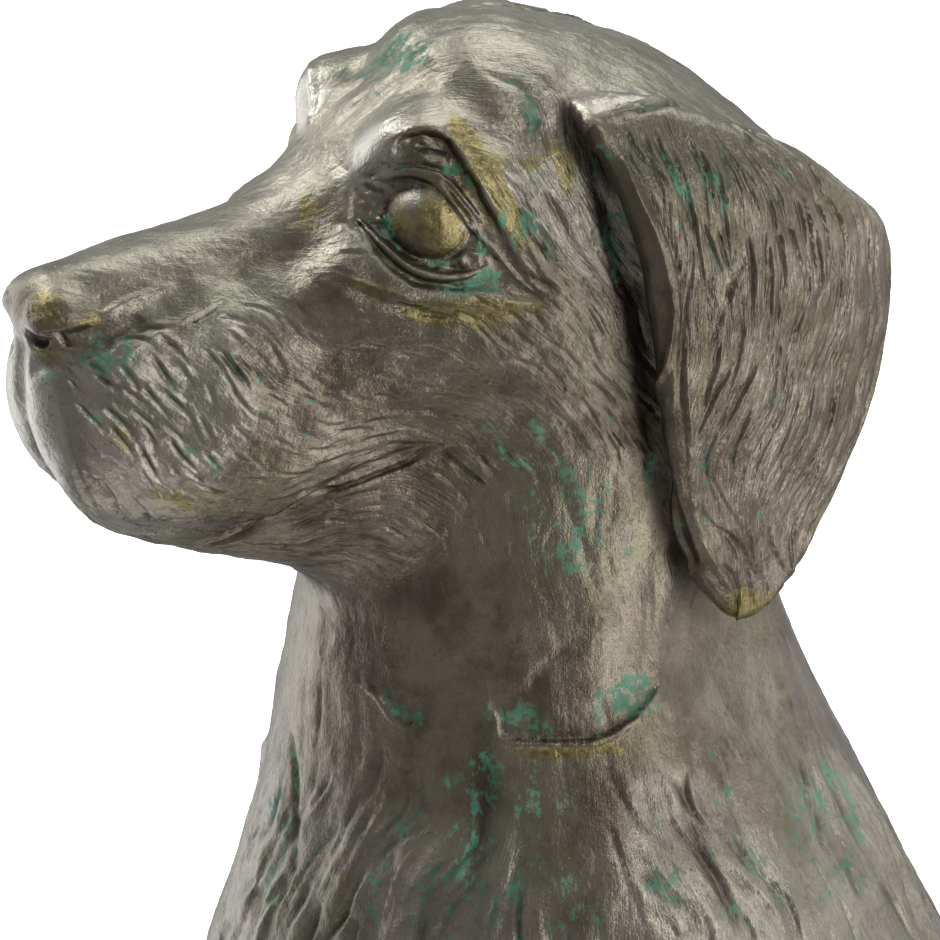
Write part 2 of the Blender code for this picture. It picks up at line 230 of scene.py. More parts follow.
def loop2(points, n=3):
    p = np.asarray(points, float)
    m = len(p)
    t = np.linspace(0, 1, n, endpoint=False)[:, None]
    out = []
    for i in range(m):
        a, b, c, d = p[(i - 1) % m], p[i], p[(i + 1) % m], p[(i + 2) % m]
        out.append(0.5 * (2 * b + (c - a) * t + (2 * a - 5 * b + 4 * c - d) * t * t + (3 * b - a - 3 * c + d) * t ** 3))
    return np.vstack(out)


def inside_loop(x, z, loop):
    """Signed distance in the plane to a closed loop (minus inside)."""
    best, odd = np.full(len(x), 1e9), np.zeros(len(x), bool)
    for (ax, az), (bx, bz) in zip(loop, np.roll(loop, -1, 0)):
        ex, ez = bx - ax, bz - az
        t = np.clip(((x - ax) * ex + (z - az) * ez) / max(ex * ex + ez * ez, 1e-9), 0, 1)
        best = np.minimum(best, (x - ax - t * ex) ** 2 + (z - az - t * ez) ** 2)
        odd ^= ((az > z) != (bz > z)) & (x < ex * (z - az) / (ez if ez else 1e-12) + ax)
    r = np.sqrt(best)
    return np.where(odd, -r, r)


RIM = loop2(EAR_RIM)


def ear_mid(x, z):
    return EAR_OUT(z) - 15.0 * ((x + 68) / 45) ** 2 * np.where(x < -68, 1.0, 0.6)


def ear(p):
    x, y, z = p.T
    flat, m = inside_loop(x, z, RIM), ear_mid(x, z)
    gx = (ear_mid(x + 1, z) - ear_mid(x - 1, z)) / 2
    gz = (ear_mid(x, z + 1) - ear_mid(x, z - 1)) / 2
    lean = 1 / np.sqrt(1 + gx * gx + gz * gz)
    leaf = smax(np.abs(y - m) * lean - EAR_THICK / 2, flat, 3.0)
    back = smax(smax(smax(flat + 7.5, (y - m) * lean, 2.0), 24.0 - y, 2.0), -x - 88.0, 8.0)
    return leaf, back


def soft_abs(y, e):
    return np.sqrt(y * y + e * e)


NOSTRIL = [(90.5, 7.5, -31.8, 1.6), (88.5, 11.0, -31.4, 1.9), (86, 13.6, -30.4, 1.7), (82, 15.6, -29.4, 1.4), (76, 17.2, -28.6, 1.3), (69, 18.2, -27, 1.0)]
MOUTH = [(66, 6, -92), (60, 9, -92), (55, 12, -90.5), (50, 15.5, -88.5), (46, 19, -86), (42.5, 23, -83), (39.5, 26, -80.5), (36, 29, -78.5),
         (32.5, 31.5, -75), (28, 33.5, -72), (22.5, 35, -68.5), (16, 35.5, -66.5), (9.5, 36, -65), (5, 36.5, -64), (-1, 38, -64)]
PHILTRUM = [(91, 0, -36), (91.5, 0, -44), (92, 0, -52), (91, 0, -60), (88, 0, -68), (84, 0, -76)]


def head_field(ph, detail=True):
    """Signed distance to the head, without neck and ears."""
    q = np.stack([ph[:, 0], soft_abs(ph[:, 1], 1.0), ph[:, 2]], 1)
    w = q.copy()
    w[:, 1] = soft_abs(ph[:, 1], 6.0)
    F = Field(w)
    i = F.near((-125, 0, -75), (30, 60, 45), 10)
    F.put(i, skull(q[i]), 1)
    for centre, radii, k in (((-28, 28, -28), (44, 21, 28), 14), ((-42, 33, -50), (34, 17, 36), 16), ((2, 22, -36), (34, 16, 26), 16),
                             ((-74, 22, -62), (38, 26, 52), 18), ((-82, 30, -52), (31, 23, 46), 16)):
        F.ball(centre, radii, k)                                    # cheeks, jaw muscles, nape
    F.p = q
    i = F.near((-25, 0, -60), (100, 40, 40), 10)
    F.put(i, muzzle_bridge(q[i], q[i][:, 1]), 9)
    F.ball((50, 14, -52), (36, 17, 29), 9, turn=turn_y(4))           # lip pads
    F.ball((24, 20, -54), (38, 17, 28), 12)
    F.ball((71, 9.5, -52), (17.5, 13.5, 25), 8)
    F.ball((26, 0, -77), (46, 20, 19.5), 8)                          # lower jaw
    F.ball((64, 0, -70), (16, 14, 15), 7)
    F.ball((-12, 0, -80), (55, 34, 24), 14)
    F.ball((82.5, 0, -28), (9, 13.5, 8.0), 4)                        # nose leather
    F.ball((83.5, 8.5, -28.5), (8.0, 6.8, 7), 3)
    F.ball((-3, 22, 6.5), (13, 12.5, 12.5), 7)                       # brows
    F.ball((-15, 33, -2), (16, 9, 11), 8)
    if detail:
        F.d = eye_form(q, F.d)
        F.groove(NOSTRIL, 1.5, 1.8)
        F.ball((89.5, 8.0, -32), (3.2, 3.0, 1.9), 1.0, cut=True, m=5)
        F.groove(PHILTRUM, 2.6, 2.2)
        F.groove([(90, 8.0, -39), (89, 11.5, -37), (86, 14.5, -35), (82, 17, -33.5), (76, 18.6, -31.5)], 1.2, 1.7)
        F.groove(MOUTH, 3.2, 1.8)
    return F, q


NX = curve([0, 30, 60, 80, 110, 160, 210], [6, 3.5, -0.5, -4, -6.5, -5, 2])
NY = curve([0, 60, 110, 160, 210], [2, 0, -2, -2, 2])
RX = curve([-10, 10, 30, 50, 70, 110, 150, 200, 240], [104, 96, 87, 79, 71.5, 59.5, 53, 44, 30])
RY = curve([-10, 30, 70, 110, 150, 200, 240], [82, 76, 68, 60, 52, 44, 30])


def neck_field(pw):
    z = pw[:, 2]
    rx, ry = RX(z), RY(z)
    a = np.sqrt(((pw[:, 0] - NX(z)) / rx) ** 2 + ((pw[:, 1] - NY(z)) / ry) ** 2)
    return smax((a - 1) * np.minimum(rx, ry) * 0.95, z - 208.0, 20.0)


def form(pw, detail=True):
    """Signed distance to the whole bust at world points."""
    F, q = head_field(to_head(pw), detail)
    F.d = smin(F.d, neck_field(pw), 18.0)
    F.p = q
    F.bump((-72, 56, -112), (22, 24, 26), -6.0)
    i = F.near((-120, 20, -115), (-30, 75, 30), 8)
    leaf, back = ear(q[i])
    F.put(i, back, 8.0)
    F.put(i, leaf, 2.5)
    if detail:
        F.groove([(-37.5, 47.5, 0, 0.6), (-39.7, 48.1, -5.3, 1), (-40.8, 50.5, -11, 1.1), (-42.2, 52.8, -17.4, 1.1), (-44.7, 55.1, -25, 0.95), (-46.8, 56.7, -34.8, 0.9),
                  (-48.7, 58.1, -47.3, 0.8), (-49.4, 60.4, -58.9, 0.7), (-51.6, 61.1, -74.4, 0.6), (-57.2, 60.8, -91.1, 0.5)], 5.0, 2.2)
    return smax(F.d, -pw[:, 2], 0.5)


# =====================================================================================
# 2. The eye: a height map over its own plane (u to the back of the head, v up, w outwards)
# =====================================================================================
EYE_AT = np.array([1.0, 37.5, -4.5])
EYE_W = np.array([0.39, 0.85, 0.34])
EYE_W = EYE_W / np.linalg.norm(EYE_W)
EYE_U = np.cross([0, 0, 1.0], EYE_W)
EYE_U = EYE_U / np.linalg.norm(EYE_U)
EYE_V = np.cross(EYE_W, EYE_U)
BALL_AT, BALL_R = (-0.5, 0.0, -9.8), 11.4
HOOD = [(-18.0, 9.3), (-15.4, 11.6), (-12.4, 14.6), (-7.6, 19.0), (-2.4, 20.6), (1.8, 19.6), (5.0, 16.0), (8.0, 11.2), (12, 4.6), (15.6, -2.0),
        (19.0, -8.6), (22.6, -14.6), (25.0, -18.0), (21, -18.6), (15, -16.6), (8, -16.4), (0, -15.8), (-6, -14.2), (-11.5, -10.2), (-16.2, -4.6), (-19.6, -0.6), (-19.4, 5.0)]
LID_UP = [(-17.4, 8.8, 0.5), (-13.5, 9.9, 0.7), (-9, 10.9, 0.8), (-4.8, 11.2, 1.1), (-0.8, 10.2, 1.4), (2.8, 7.8, 1.6), (6.4, 3.8, 1.8), (10.2, -1.0, 1.9),
          (14, -5.6, 1.9), (17.4, -9.9, 1.7), (20.8, -13.8, 1.3), (24.4, -17.0, 0.6)]
LID_LOW = [(-17.6, -0.4, 0.5), (-15.2, -2.8, 0.7), (-11.5, -6.6, 0.9), (-8.4, -9.4, 1.0), (-5.2, -11.6, 1.0), (-1.4, -12.9, 1.0), (2.4, -13.5, 1.0), (6, -13.3, 0.95), (9.4, -12.3, 0.85), (13.4, -10.4, 0.6)]
FOLD = [(-16.4, -5.6), (-12.4, -9.8), (-8, -13.0), (-3, -15.2), (2.5, -16.0), (8.0, -15.8), (13.5, -14.2), (19, -14.6)]
LEDGE = [(-22, -12.6), (-18.5, -14.2), (-13.5, -16.2), (-8.5, -17.8), (-3, -19.0), (4, -19.8), (11, -20.0), (19, -19.6), (26, -18.6), (32, -17.0)]
LATTICE = np.random.default_rng(11).random(8192)


def noise(p, size, seed=0):
    """Smooth value noise, 0 to 1, for points of any dimension."""
    p = np.atleast_2d(p) / size + 512.0 + 7.3 * seed
    i = np.floor(p).astype(np.int64)
    f = p - i
    f = f * f * (3 - 2 * f)
    n, out = p.shape[1], 0.0
    prime = (73856093, 19349663, 83492791)
    for c in range(2 ** n):
        w, k = 1.0, seed * 7919
        for a in range(n):
            b = (c >> a) & 1
            w = w * (f[:, a] if b else 1 - f[:, a])
            k = k ^ ((i[:, a] + b) * prime[a])
        out = out + w * LATTICE[k & 8191]
    return out


def line_gap(u, v, line, n=6):
    """Distance to a line in the plane, the side (plus to the left of its run), the place along it and its own width there."""
    line = catmull(line, n)
    best, side, along, width = np.full(len(u), 1e9), np.zeros(len(u)), np.zeros(len(u)), np.zeros(len(u))
    m = len(line) - 1
    for k in range(m):
        a, b = line[k], line[k + 1]
        ex, ey = b[0] - a[0], b[1] - a[1]
        t = np.clip(((u - a[0]) * ex + (v - a[1]) * ey) / max(ex * ex + ey * ey, 1e-9), 0, 1)
        du, dv = u - a[0] - t * ex, v - a[1] - t * ey
        e = np.hypot(du, dv)
        s = e < best
        best[s], side[s], along[s] = e[s], np.sign(ex * dv - ey * du)[s], ((k + t) / m)[s]
        if line.shape[1] > 2:
            width[s] = (a[2] + t * (b[2] - a[2]))[s]
    return best, side, along, width


def lift(u, v):
    """Height of the plain face over the eye's plane."""
    w = np.full(len(u), 25.0)
    base = EYE_AT + u[:, None] * EYE_U + v[:, None] * EYE_V
    for _ in range(26):
        w -= head_field(base + w[:, None] * EYE_W, False)[0].d * 0.85
    return w


EYE_LO, EYE_HI, EYE_STEP = np.array([-34.0, -28.0]), np.array([38.0, 32.0]), 0.25


def soften(a, n):
    for _ in range(n):
        a = (a + np.roll(a, 1, 0) + np.roll(a, -1, 0)) / 3
        a = (a + np.roll(a, 1, 1) + np.roll(a, -1, 1)) / 3
    return a


OPEN = [p[:2] for p in LID_UP[:10]] + [p[:2] for p in LID_LOW[::-1]]


def eye_map():
    nu, nv = (np.round((EYE_HI - EYE_LO) / EYE_STEP).astype(int) + 1)
    us, vs = EYE_LO[0] + EYE_STEP * np.arange(nu), EYE_LO[1] + EYE_STEP * np.arange(nv)
    cu, cv = np.arange(EYE_LO[0], EYE_HI[0] + 0.1, 2.0), np.arange(EYE_LO[1], EYE_HI[1] + 0.1, 2.0)
    g = np.stack(np.meshgrid(cu, cv, indexing="ij"), -1).reshape(-1, 2)
    coarse = lift(g[:, 0], g[:, 1]).reshape(len(cu), len(cv))
    rows = np.stack([np.interp(us, cu, coarse[:, j]) for j in range(len(cv))], 1)
    plain = np.stack([np.interp(vs, cv, rows[i]) for i in range(nu)], 0)
    edge = plain.copy()
    plain = soften(plain, 10)
    plain[:6], plain[-6:], plain[:, :6], plain[:, -6:] = edge[:6], edge[-6:], edge[:, :6], edge[:, -6:]
    G = np.stack(np.meshgrid(us, vs, indexing="ij"), -1).reshape(-1, 2)
    u, v, f = G[:, 0], G[:, 1], plain.reshape(-1)
    o = inside_loop(u, v, loop2(HOOD, 4))
    wob = noise(G, 3.0, 1) - 0.5
    r = np.sqrt((u - BALL_AT[0]) ** 2 + ((v - BALL_AT[1]) * 1.04) ** 2)
    e, side, t, w = line_gap(u, v, LID_UP)
    s = e * side                                                        # plus above the lid
    # recess under the hood: deep behind the lid, shallow towards the inner corner
    depth = 1.7 + 1.5 * step((v + 5) / 10) * step((u + 15) / 8) - 0.6 * step((u - 14) / 8)
    h = f - depth * step(0.45 - (o + wob * 1.0) / (2.0 + 1.4 * step((-u - 6) / 9)))
    h += 0.7 * np.exp(-((o - 1.2) / 1.2) ** 2) * step((v + 6) / 9) * step((u + 12) / 6)     # edge of the hood
    h += 0.55 * np.exp(-((o - 5.0) / 2.6) ** 2) * step((u - 1) / 6)                          # flat bevel behind it
    inner = step(0.1 - o / 1.6)
    crinkle = 1.2 * (noise(np.stack([u * 0.45 + 0.8 * wob, v + 0.2 * u + 1.2 * wob], 1), 1.6, 2) - 0.5) + 0.7 * (noise(G, 1.15, 3) - 0.5)
    h += inner * step((s - 1.5) / 1.5) * step((v - 2) / 5) * (1.3 * crinkle + 1.3 * np.exp(-(((u + 3.5) / 5.0) ** 2 + ((v - 14.2) / 1.6) ** 2)))
    h += inner * step((-u - 9) / 3) * 1.7 * crinkle
    # the eyeball in its gutter
    ball = BALL_AT[2] + np.sqrt(np.maximum(BALL_R ** 2 - r ** 2, 0.0)) - 0.14 * np.cos(np.arctan2(u + 0.3, 9.0) * 14) * step(1 - r / 9.5)
    og = inside_loop(u, v, loop2(OPEN, 4))
    floor_h = np.minimum(h, f - 1.9 - 1.5 * np.exp(-(np.maximum(r - 9.3, 0) / 1.9) ** 2) + 1.5 * crinkle * step((r - 10.2) / 1.5))
    gut = step((0.3 - og) / 1.3)
    h = h * (1 - gut) + floor_h * gut
    h = np.where(r < BALL_R - 0.35, np.maximum(h, ball), h)
    # upper lid: a flat creased band that wraps the ball and runs out behind it
    shell = BALL_AT[2] + np.sqrt(np.maximum((BALL_R + 1.3) ** 2 - r ** 2, 0.0))
    top = np.maximum(np.where(r < BALL_R + 1.0, shell, -50), f - 1.9 + 1.3 * step((t - 0.6) / 0.4) + 0.5 * step((0.25 - t) / 0.25))
    top = top - 0.3 * step((0.5 - t) / 0.5)
    w = w * (1 - 0.35 * step((t - 0.55) / 0.4))
    band = top - 0.30 * np.clip(s / np.maximum(w, .1), -1.5, 1.5) - 0.5 * np.exp(-((s - 0.3) / 0.4) ** 2) * step((t - 0.3) / 0.2) + 0.5 * (noise(np.stack([t * 22, s], 1), 1.0, 4) - 0.5)
    lid = band - 1.6 * step((e - w + 0.3) / 0.8) - 9 * step((e - w - 0.4) / 0.6)
    h = np.maximum(h, lid)
    # lower lid: a thin bright rim, the fold under it and the ledge of the cheek
    e2, side2, t2, w2 = line_gap(u, v, LID_LOW)
    rim = f + 0.3 - 0.5 * step((t2 - 0.5) / 0.3) - 1.3 * step((t2 - 0.82) / 0.18) + 0.35 * (noise(G, 1.6, 5) - 0.5)
    low = rim - 1.1 * (e2 / np.maximum(w2 * 0.95, .1)) ** 2 - 9 * step((e2 - w2 - 0.5) / 0.7)
    h = np.maximum(h, low)
    # how dark each part is painted: painted shade in the recess under the hood and in the gutter round the ball, the
    # upper lid band darker from its first third on, ball and rims bare, and a painted shade line on the ball's side of
    # the lower lid
    shade = 0.35 * step(0.6 - (o + 1.0 * wob) / 1.5)
    shade = np.maximum(shade, 0.42 * gut)
    shade = np.where(e < w + 0.3, np.maximum(0.6 * step((t - 0.3) / 0.2), shade * 0.5), shade)
    shade = shade * (1 - step((9.7 - r) / 0.8) * (e > w)) * (1 - 0.9 * np.exp(-(e2 / np.maximum(w2 * 0.9, .1)) ** 2))
    shade = np.maximum(shade, 0.7 * np.exp(-((e2 - 1.9) / 0.8) ** 2) * (side2 > 0) * np.sin(np.pi * np.clip(t2, 0, 1)))
    e3, side3, t3, _ = line_gap(u, v, FOLD)
    h -= 1.15 * np.exp(-(e3 / 1.15) ** 2) * np.sin(np.pi * np.clip(t3, 0.02, 0.98)) ** 0.5
    e4, side4, t4, _ = line_gap(u, v, LEDGE)
    fade = np.sin(np.pi * np.clip(t4, 0, 1)) ** 0.6
    h += fade * (1.0 * np.exp(-(e4 / 1.3) ** 2) - 0.7 * np.exp(-((e4 - 2.4) / 1.2) ** 2) * (side4 < 0))
    patch = step(1.0 - (o - 8.5) / 5.0) * step((u - EYE_LO[0] - 1) / 4) * step((EYE_HI[0] - 1 - u) / 4) * step((v - EYE_LO[1] - 1) / 3) * step((EYE_HI[1] - 1 - v) / 4)
    return h.reshape(nu, nv), plain, patch.reshape(nu, nv), o.reshape(nu, nv), shade.reshape(nu, nv)


def look_up(grid, u, v):
    x = np.clip((u - EYE_LO[0]) / EYE_STEP, 0, grid.shape[0] - 1.001)
    y = np.clip((v - EYE_LO[1]) / EYE_STEP, 0, grid.shape[1] - 1.001)
    i, j = x.astype(int), y.astype(int)
    a, b = x - i, y - j
    return (grid[i, j] * (1 - a) * (1 - b) + grid[i + 1, j] * a * (1 - b) + grid[i, j + 1] * (1 - a) * b + grid[i + 1, j + 1] * a * b)


EYE_H, EYE_PLAIN, EYE_PATCH, EYE_HOOD, EYE_SHADE = eye_map()


def eye_form(q, d):
    i = np.flatnonzero((np.abs(q - EYE_AT) < (38, 28, 36)).all(1) & (np.abs(d) < 14))
    if not len(i):
        return d
    p = q[i] - EYE_AT
    u, v, w = p @ EYE_U, p @ EYE_V, p @ EYE_W
    inside = (u > EYE_LO[0]) & (u < EYE_HI[0]) & (v > EYE_LO[1]) & (v < EYE_HI[1])
    i, u, v, w = i[inside], u[inside], v[inside], w[inside]
    m = look_up(EYE_PATCH, u, v) * step((w - look_up(EYE_PLAIN, u, v) + 9) / 4)
    out = d.copy()
    out[i] = d[i] * (1 - m) + (w - look_up(EYE_H, u, v)) * 0.8 * m
    return out


# =====================================================================================
# 3. Sampling and meshing
# =====================================================================================
def sample(field, lo, hi, h, levels=3):
    """The field on a grid; far from the surface only the sign and a rough size are right."""
    block = 2 ** levels
    n = np.ceil((np.asarray(hi) - lo) / h).astype(int)
    n = ((n + block - 1) // block) * block + 1
    grid = None
    for level in range(levels, -1, -1):
        s = 2 ** level
        m = (n - 1) // s + 1
        if grid is None:
            g = np.stack(np.meshgrid(*[np.arange(k) for k in m], indexing="ij"), -1).reshape(-1, 3)
            grid = field(lo + g * (h * s)).reshape(m).astype(np.float32)
            continue
        for ax in range(3):
            shape = list(grid.shape)
            shape[ax] = 2 * shape[ax] - 1
            wide = np.empty(shape, np.float32)
            even, odd, c0, c1 = ([slice(None)] * 3 for _ in range(4))
            even[ax], odd[ax], c0[ax], c1[ax] = slice(0, None, 2), slice(1, None, 2), slice(0, -1), slice(1, None)
            wide[tuple(even)] = grid
            wide[tuple(odd)] = 0.5 * (grid[tuple(c0)] + grid[tuple(c1)])
            grid = wide
        band = h * s * (3.4 if level else 2.6) * (2.0 if level == levels - 1 else 1.3)
        idx = np.argwhere(np.abs(grid) < band)
        for k in range(0, len(idx), 400000):
            part = idx[k:k + 400000]
            grid[tuple(part.T)] = field(lo + part * (h * s))
    return grid


LO, HI = np.array([-175.0, -185.0, -6.0]), np.array([130.0, 125.0, 290.0])
GRID = sample(form, LO, HI, CELL)


def to_mesh(grid, lo, h):
    g = openvdb.FloatGrid(3 * h)
    g.copyFromArray(np.ascontiguousarray(np.clip(grid, -3 * h, 3 * h), np.float32))
    g.gridClass = openvdb.GridClass.LEVEL_SET
    points, tris, quads = g.convertToPolygons(isovalue=0.0, adaptivity=0.0)
    return lo + points.astype(float) * h, quads[:, ::-1]


def split(points, quads, chosen):
    """Cuts the chosen quads in four; neighbours that share a cut edge become fans of triangles."""
    q = quads.astype(np.int64)
    pick = chosen[q].all(1)
    e = np.stack([q, np.roll(q, -1, 1)], -1)
    key = np.sort(e, -1)
    code = key[..., 0] * len(points) + key[..., 1]
    uniq = np.unique(code[pick])
    mid = 0.5 * (points[uniq // len(points)] + points[uniq % len(points)])
    m0, c0 = len(points), len(points) + len(mid)
    pos = np.clip(np.searchsorted(uniq, code), 0, len(uniq) - 1)
    cut = uniq[pos] == code
    mids = m0 + pos
    centre = points[q[pick]].mean(1)
    cen = c0 + np.arange(len(centre))
    a, b = q[pick], mids[pick]
    new = np.concatenate([np.stack([a[:, k], b[:, k], cen, b[:, k - 1]], 1) for k in range(4)])
    rest, rcut, rmid = q[~pick], cut[~pick], mids[~pick]
    plain = rest[~rcut.any(1)]
    fans = []
    for face, flags, m in zip(rest[rcut.any(1)], rcut[rcut.any(1)], rmid[rcut.any(1)]):
        ring = []
        for k in range(4):
            ring.append(int(face[k]))
            if flags[k]:
                ring.append(int(m[k]))
        fans.append(ring)
    return np.vstack([points, mid, centre]), np.concatenate([plain, new]), fans


def pull_in(p, rounds=2):
    """Moves points onto the exact surface."""
    for _ in range(rounds):
        d, g = form(p), np.empty_like(p)
        for a in range(3):
            o = np.zeros(3)
            o[a] = 0.15
            g[:, a] = (form(p + o) - d) / 0.15
        p = p - np.clip(d, -0.6, 0.6)[:, None] * g / np.maximum((g * g).sum(1, keepdims=True), 0.3)
    return p


POINTS, QUADS = to_mesh(GRID, LO, CELL)
hq = to_head(POINTS)
ey = np.stack([hq[:, 0], np.abs(hq[:, 1]), hq[:, 2]], 1) - EYE_AT
near_eye = (np.abs(ey @ EYE_U - 1) < 24) & (np.abs(ey @ EYE_V) < 23) & (np.abs(ey @ EYE_W) < 16)
near_nose = (hq[:, 0] > 70) & (hq[:, 2] > -42) & (hq[:, 2] < -18) & (hq[:, 1] > 0)
near_cheek = (hq[:, 1] > 6) & (hq[:, 0] > -30) & (hq[:, 2] < 2) & (hq[:, 2] > -94)
near_ear = (hq[:, 1] > 44) & (hq[:, 0] < -32) & (hq[:, 2] > -112)
POINTS, QUADS, FANS = split(POINTS, QUADS, near_eye | near_nose | near_cheek | near_ear)
hq = to_head(POINTS)
ey = np.stack([hq[:, 0], np.abs(hq[:, 1]), hq[:, 2]], 1) - EYE_AT
near_eye = (np.abs(ey @ EYE_U - 1) < 26) & (np.abs(ey @ EYE_V) < 25) & (np.abs(ey @ EYE_W) < 18)
POINTS[near_eye] = pull_in(POINTS[near_eye])


def vertex_normals(points, quads, fans=()):
    a, b, c, d = (points[quads[:, k]] for k in range(4))
    n = np.cross(c - a, d - b)
    out = np.zeros_like(points)
    for k in range(4):
        for ax in range(3):
            out[:, ax] += np.bincount(quads[:, k], n[:, ax], len(points))
    for ring in fans:
        r = points[ring]
        out[ring] += np.cross(r[2] - r[0], r[-1] - r[1]) * 0.5
    return out / np.maximum(np.linalg.norm(out, axis=1, keepdims=True), 1e-12)


NORMALS = vertex_normals(POINTS, QUADS, FANS)


def grid_at(p):
    """The sampled field at points, for the painted shade in the hollows."""
    x = np.clip((p - LO) / CELL, 0, np.array(GRID.shape) - 1.001)
    i = x.astype(int)
    f = x - i
    out = 0
    for c in range(8):
        b = np.array([c & 1, c >> 1 & 1, c >> 2 & 1])
        out = out + np.prod(np.where(b, f, 1 - f), 1) * GRID[tuple((i + b).T)]
    return out


def openness(p, n):
    """1 in the open, towards 0 in hollows."""
    shut = 0
    for t, w in ((2.0, 0.35), (5.0, 0.3), (10.0, 0.2), (18.0, 0.15)):
        shut = shut + w * np.clip((t - grid_at(p + n * t)) / t, 0, 1)
    return np.clip(1 - shut, 0, 1)


# =====================================================================================
# 4. Carving: thousands of tapered chisel strokes that follow the lie of the coat
# =====================================================================================
rng = np.random.default_rng(2024)
HEAD_PTS = to_head(POINTS)
MIRROR = np.where(HEAD_PTS[:, 1] < 0, -1.0, 1.0)
HEAD_ABS = HEAD_PTS * np.stack([np.ones_like(MIRROR), MIRROR, np.ones_like(MIRROR)], 1)
HEAD_NRM = NORMALS @ HEAD.T

# the lie of the coat: place in head millimetres, run, and the kind of stroke
BRIDGE, CROWN_K, TEMPLE, LIP, CHEEK, JAW, EAR_UP, EAR_LOW, NECK_K, TUFT, BACK_K = range(11)
HEAD_FLOW = [
    (80, 2, -17, -9, 1, 2, BRIDGE), (45, 1, -11, -9, -1, 3, BRIDGE), (20, 6, -1, -6, 0, 6, BRIDGE), (6, 6, 12, -5, 3, 6, CROWN_K), (-8, 9, 25, -8, 4, 1, CROWN_K),
    (-28, 22, 27, -9, 2, -2, CROWN_K), (-53, 14, 25, -7, 5, -4, CROWN_K), (-2, 28, 17, -9, 1, 0, CROWN_K), (-19, 30, 17, -7, 6, 1, CROWN_K), (62, 11, -17, -9, 0, 1, BRIDGE),
    (39, 11, -13, -8, 2, 3, BRIDGE), (-27, 35, 13, 0, 5, -8, TEMPLE), (-37, 42, 9, -1, 3, -8, TEMPLE), (-26, 44, -1, -4, 3, -7, TEMPLE), (-37, 49, -11, -3, 3, -8, TEMPLE),
    (-21, 50, -23, -5, 2, -7, CHEEK), (-35, 53, -32, -4, 1, -8, CHEEK), (76, 13, -25, -9, 1, 2, BRIDGE), (55, 19, -23, -9, -1, 2, BRIDGE), (37, 17, -20, -6, 7, 0, BRIDGE),
    (80, 23, -41, -5, 4, -6, LIP), (87, 17, -45, -3, 4, -7, LIP), (83, 23, -53, -4, 1, -8, LIP), (71, 27, -42, -5, 3, -7, LIP), (67, 29, -50, -5, 2, -7, LIP),
    (59, 29, -38, -5, 4, -7, LIP), (55, 33, -43, -5, 2, -7, LIP), (51, 29, -33, -4, 4, -7, LIP), (73, 25, -66, -6, -2, -6, LIP), (60, 31, -61, -7, 0, -5, LIP),
    (44, 32, -35, -5, 3, -7, CHEEK), (35, 36, -41, -8, 1, -5, CHEEK), (32, 33, -31, -7, 4, -5, CHEEK), (23, 38, -38, -9, 2, -2, CHEEK), (19, 39, -50, -9, 1, 0, CHEEK),
    (37, 37, -55, -8, 0, -3, CHEEK), (23, 37, -61, -9, 0, 0, CHEEK), (48, 32, -69, -9, 0, -2, CHEEK), (31, 34, -71, -8, 1, 4, CHEEK), (1, 43, -44, -8, 3, -2, CHEEK),
    (2, 45, -32, -8, 2, -2, CHEEK), (-11, 48, -33, -7, 2, -6, CHEEK), (-26, 52, -43, -5, 1, -7, CHEEK), (-36, 54, -60, -4, 1, -8, CHEEK), (37, 4, -98, -4, 7, 3, JAW),
    (29, 23, -90, -8, 3, 0, JAW), (13, 29, -90, -7, 4, -3, JAW), (33, 26, -83, -8, 4, 3, JAW), (20, 33, -77, -9, 2, -1, JAW), (5, 35, -79, -7, 3, -4, JAW),
    (-3, 39, -66, -6, 3, -5, CHEEK), (-12, 44, -73, -5, 3, -7, CHEEK), (-17, 48, -59, -5, 2, -7, CHEEK), (-29, 52, -67, -4, 1, -8, CHEEK),
    (-80, 12, 16, -8, 3, -4, BACK_K), (-85, 30, 8, -7, 4, -5, BACK_K), (-103, 10, -6, -4, 1, -8, BACK_K), (-100, 30, -20, -3, 1, -8, BACK_K), (-108, 5, -40, -1, 0, -9, BACK_K),
    (-106, 28, -60, -1, 1, -9, BACK_K), (-60, 44, 8, -3, 6, -6, BACK_K), (0, 8, -102, -8, 2, -3, JAW), (-20, 30, -98, -6, 2, -6, JAW), (91, 0, -28, -2, 6, 3, BRIDGE)]
EAR_FLOW = [
    (-47, 48, 18, 0, 6, -7, EAR_UP), (-57, 49, 18, 0, 6, -7, EAR_UP), (-67, 52, 15, -2, 5, -7, EAR_UP), (-76, 59, 7, -5, 2, -7, EAR_UP), (-48, 62, -1, 0, 2, -9, EAR_UP),
    (-60, 65, -3, 0, 1, -9, EAR_UP), (-74, 67, -9, 0, 1, -9, EAR_UP), (-90, 64, -13, -2, -1, -9, EAR_UP), (-104, 60, -22, -2, -1, -9, EAR_LOW), (-49, 67, -27, 0, 0, -9, EAR_LOW),
    (-62, 68, -30, 1, 0, -9, EAR_LOW), (-79, 68, -38, 2, 0, -9, EAR_LOW), (-99, 62, -48, 3, 1, -8, EAR_LOW), (-49, 65, -58, -2, 0, -9, EAR_LOW), (-61, 68, -61, 0, -1, -9, EAR_LOW),
    (-75, 67, -66, 2, -1, -9, EAR_LOW), (-90, 62, -75, 5, 0, -7, EAR_LOW), (-60, 64, -88, -4, -1, -8, EAR_LOW), (-72, 62, -100, -1, -1, -9, EAR_LOW)]
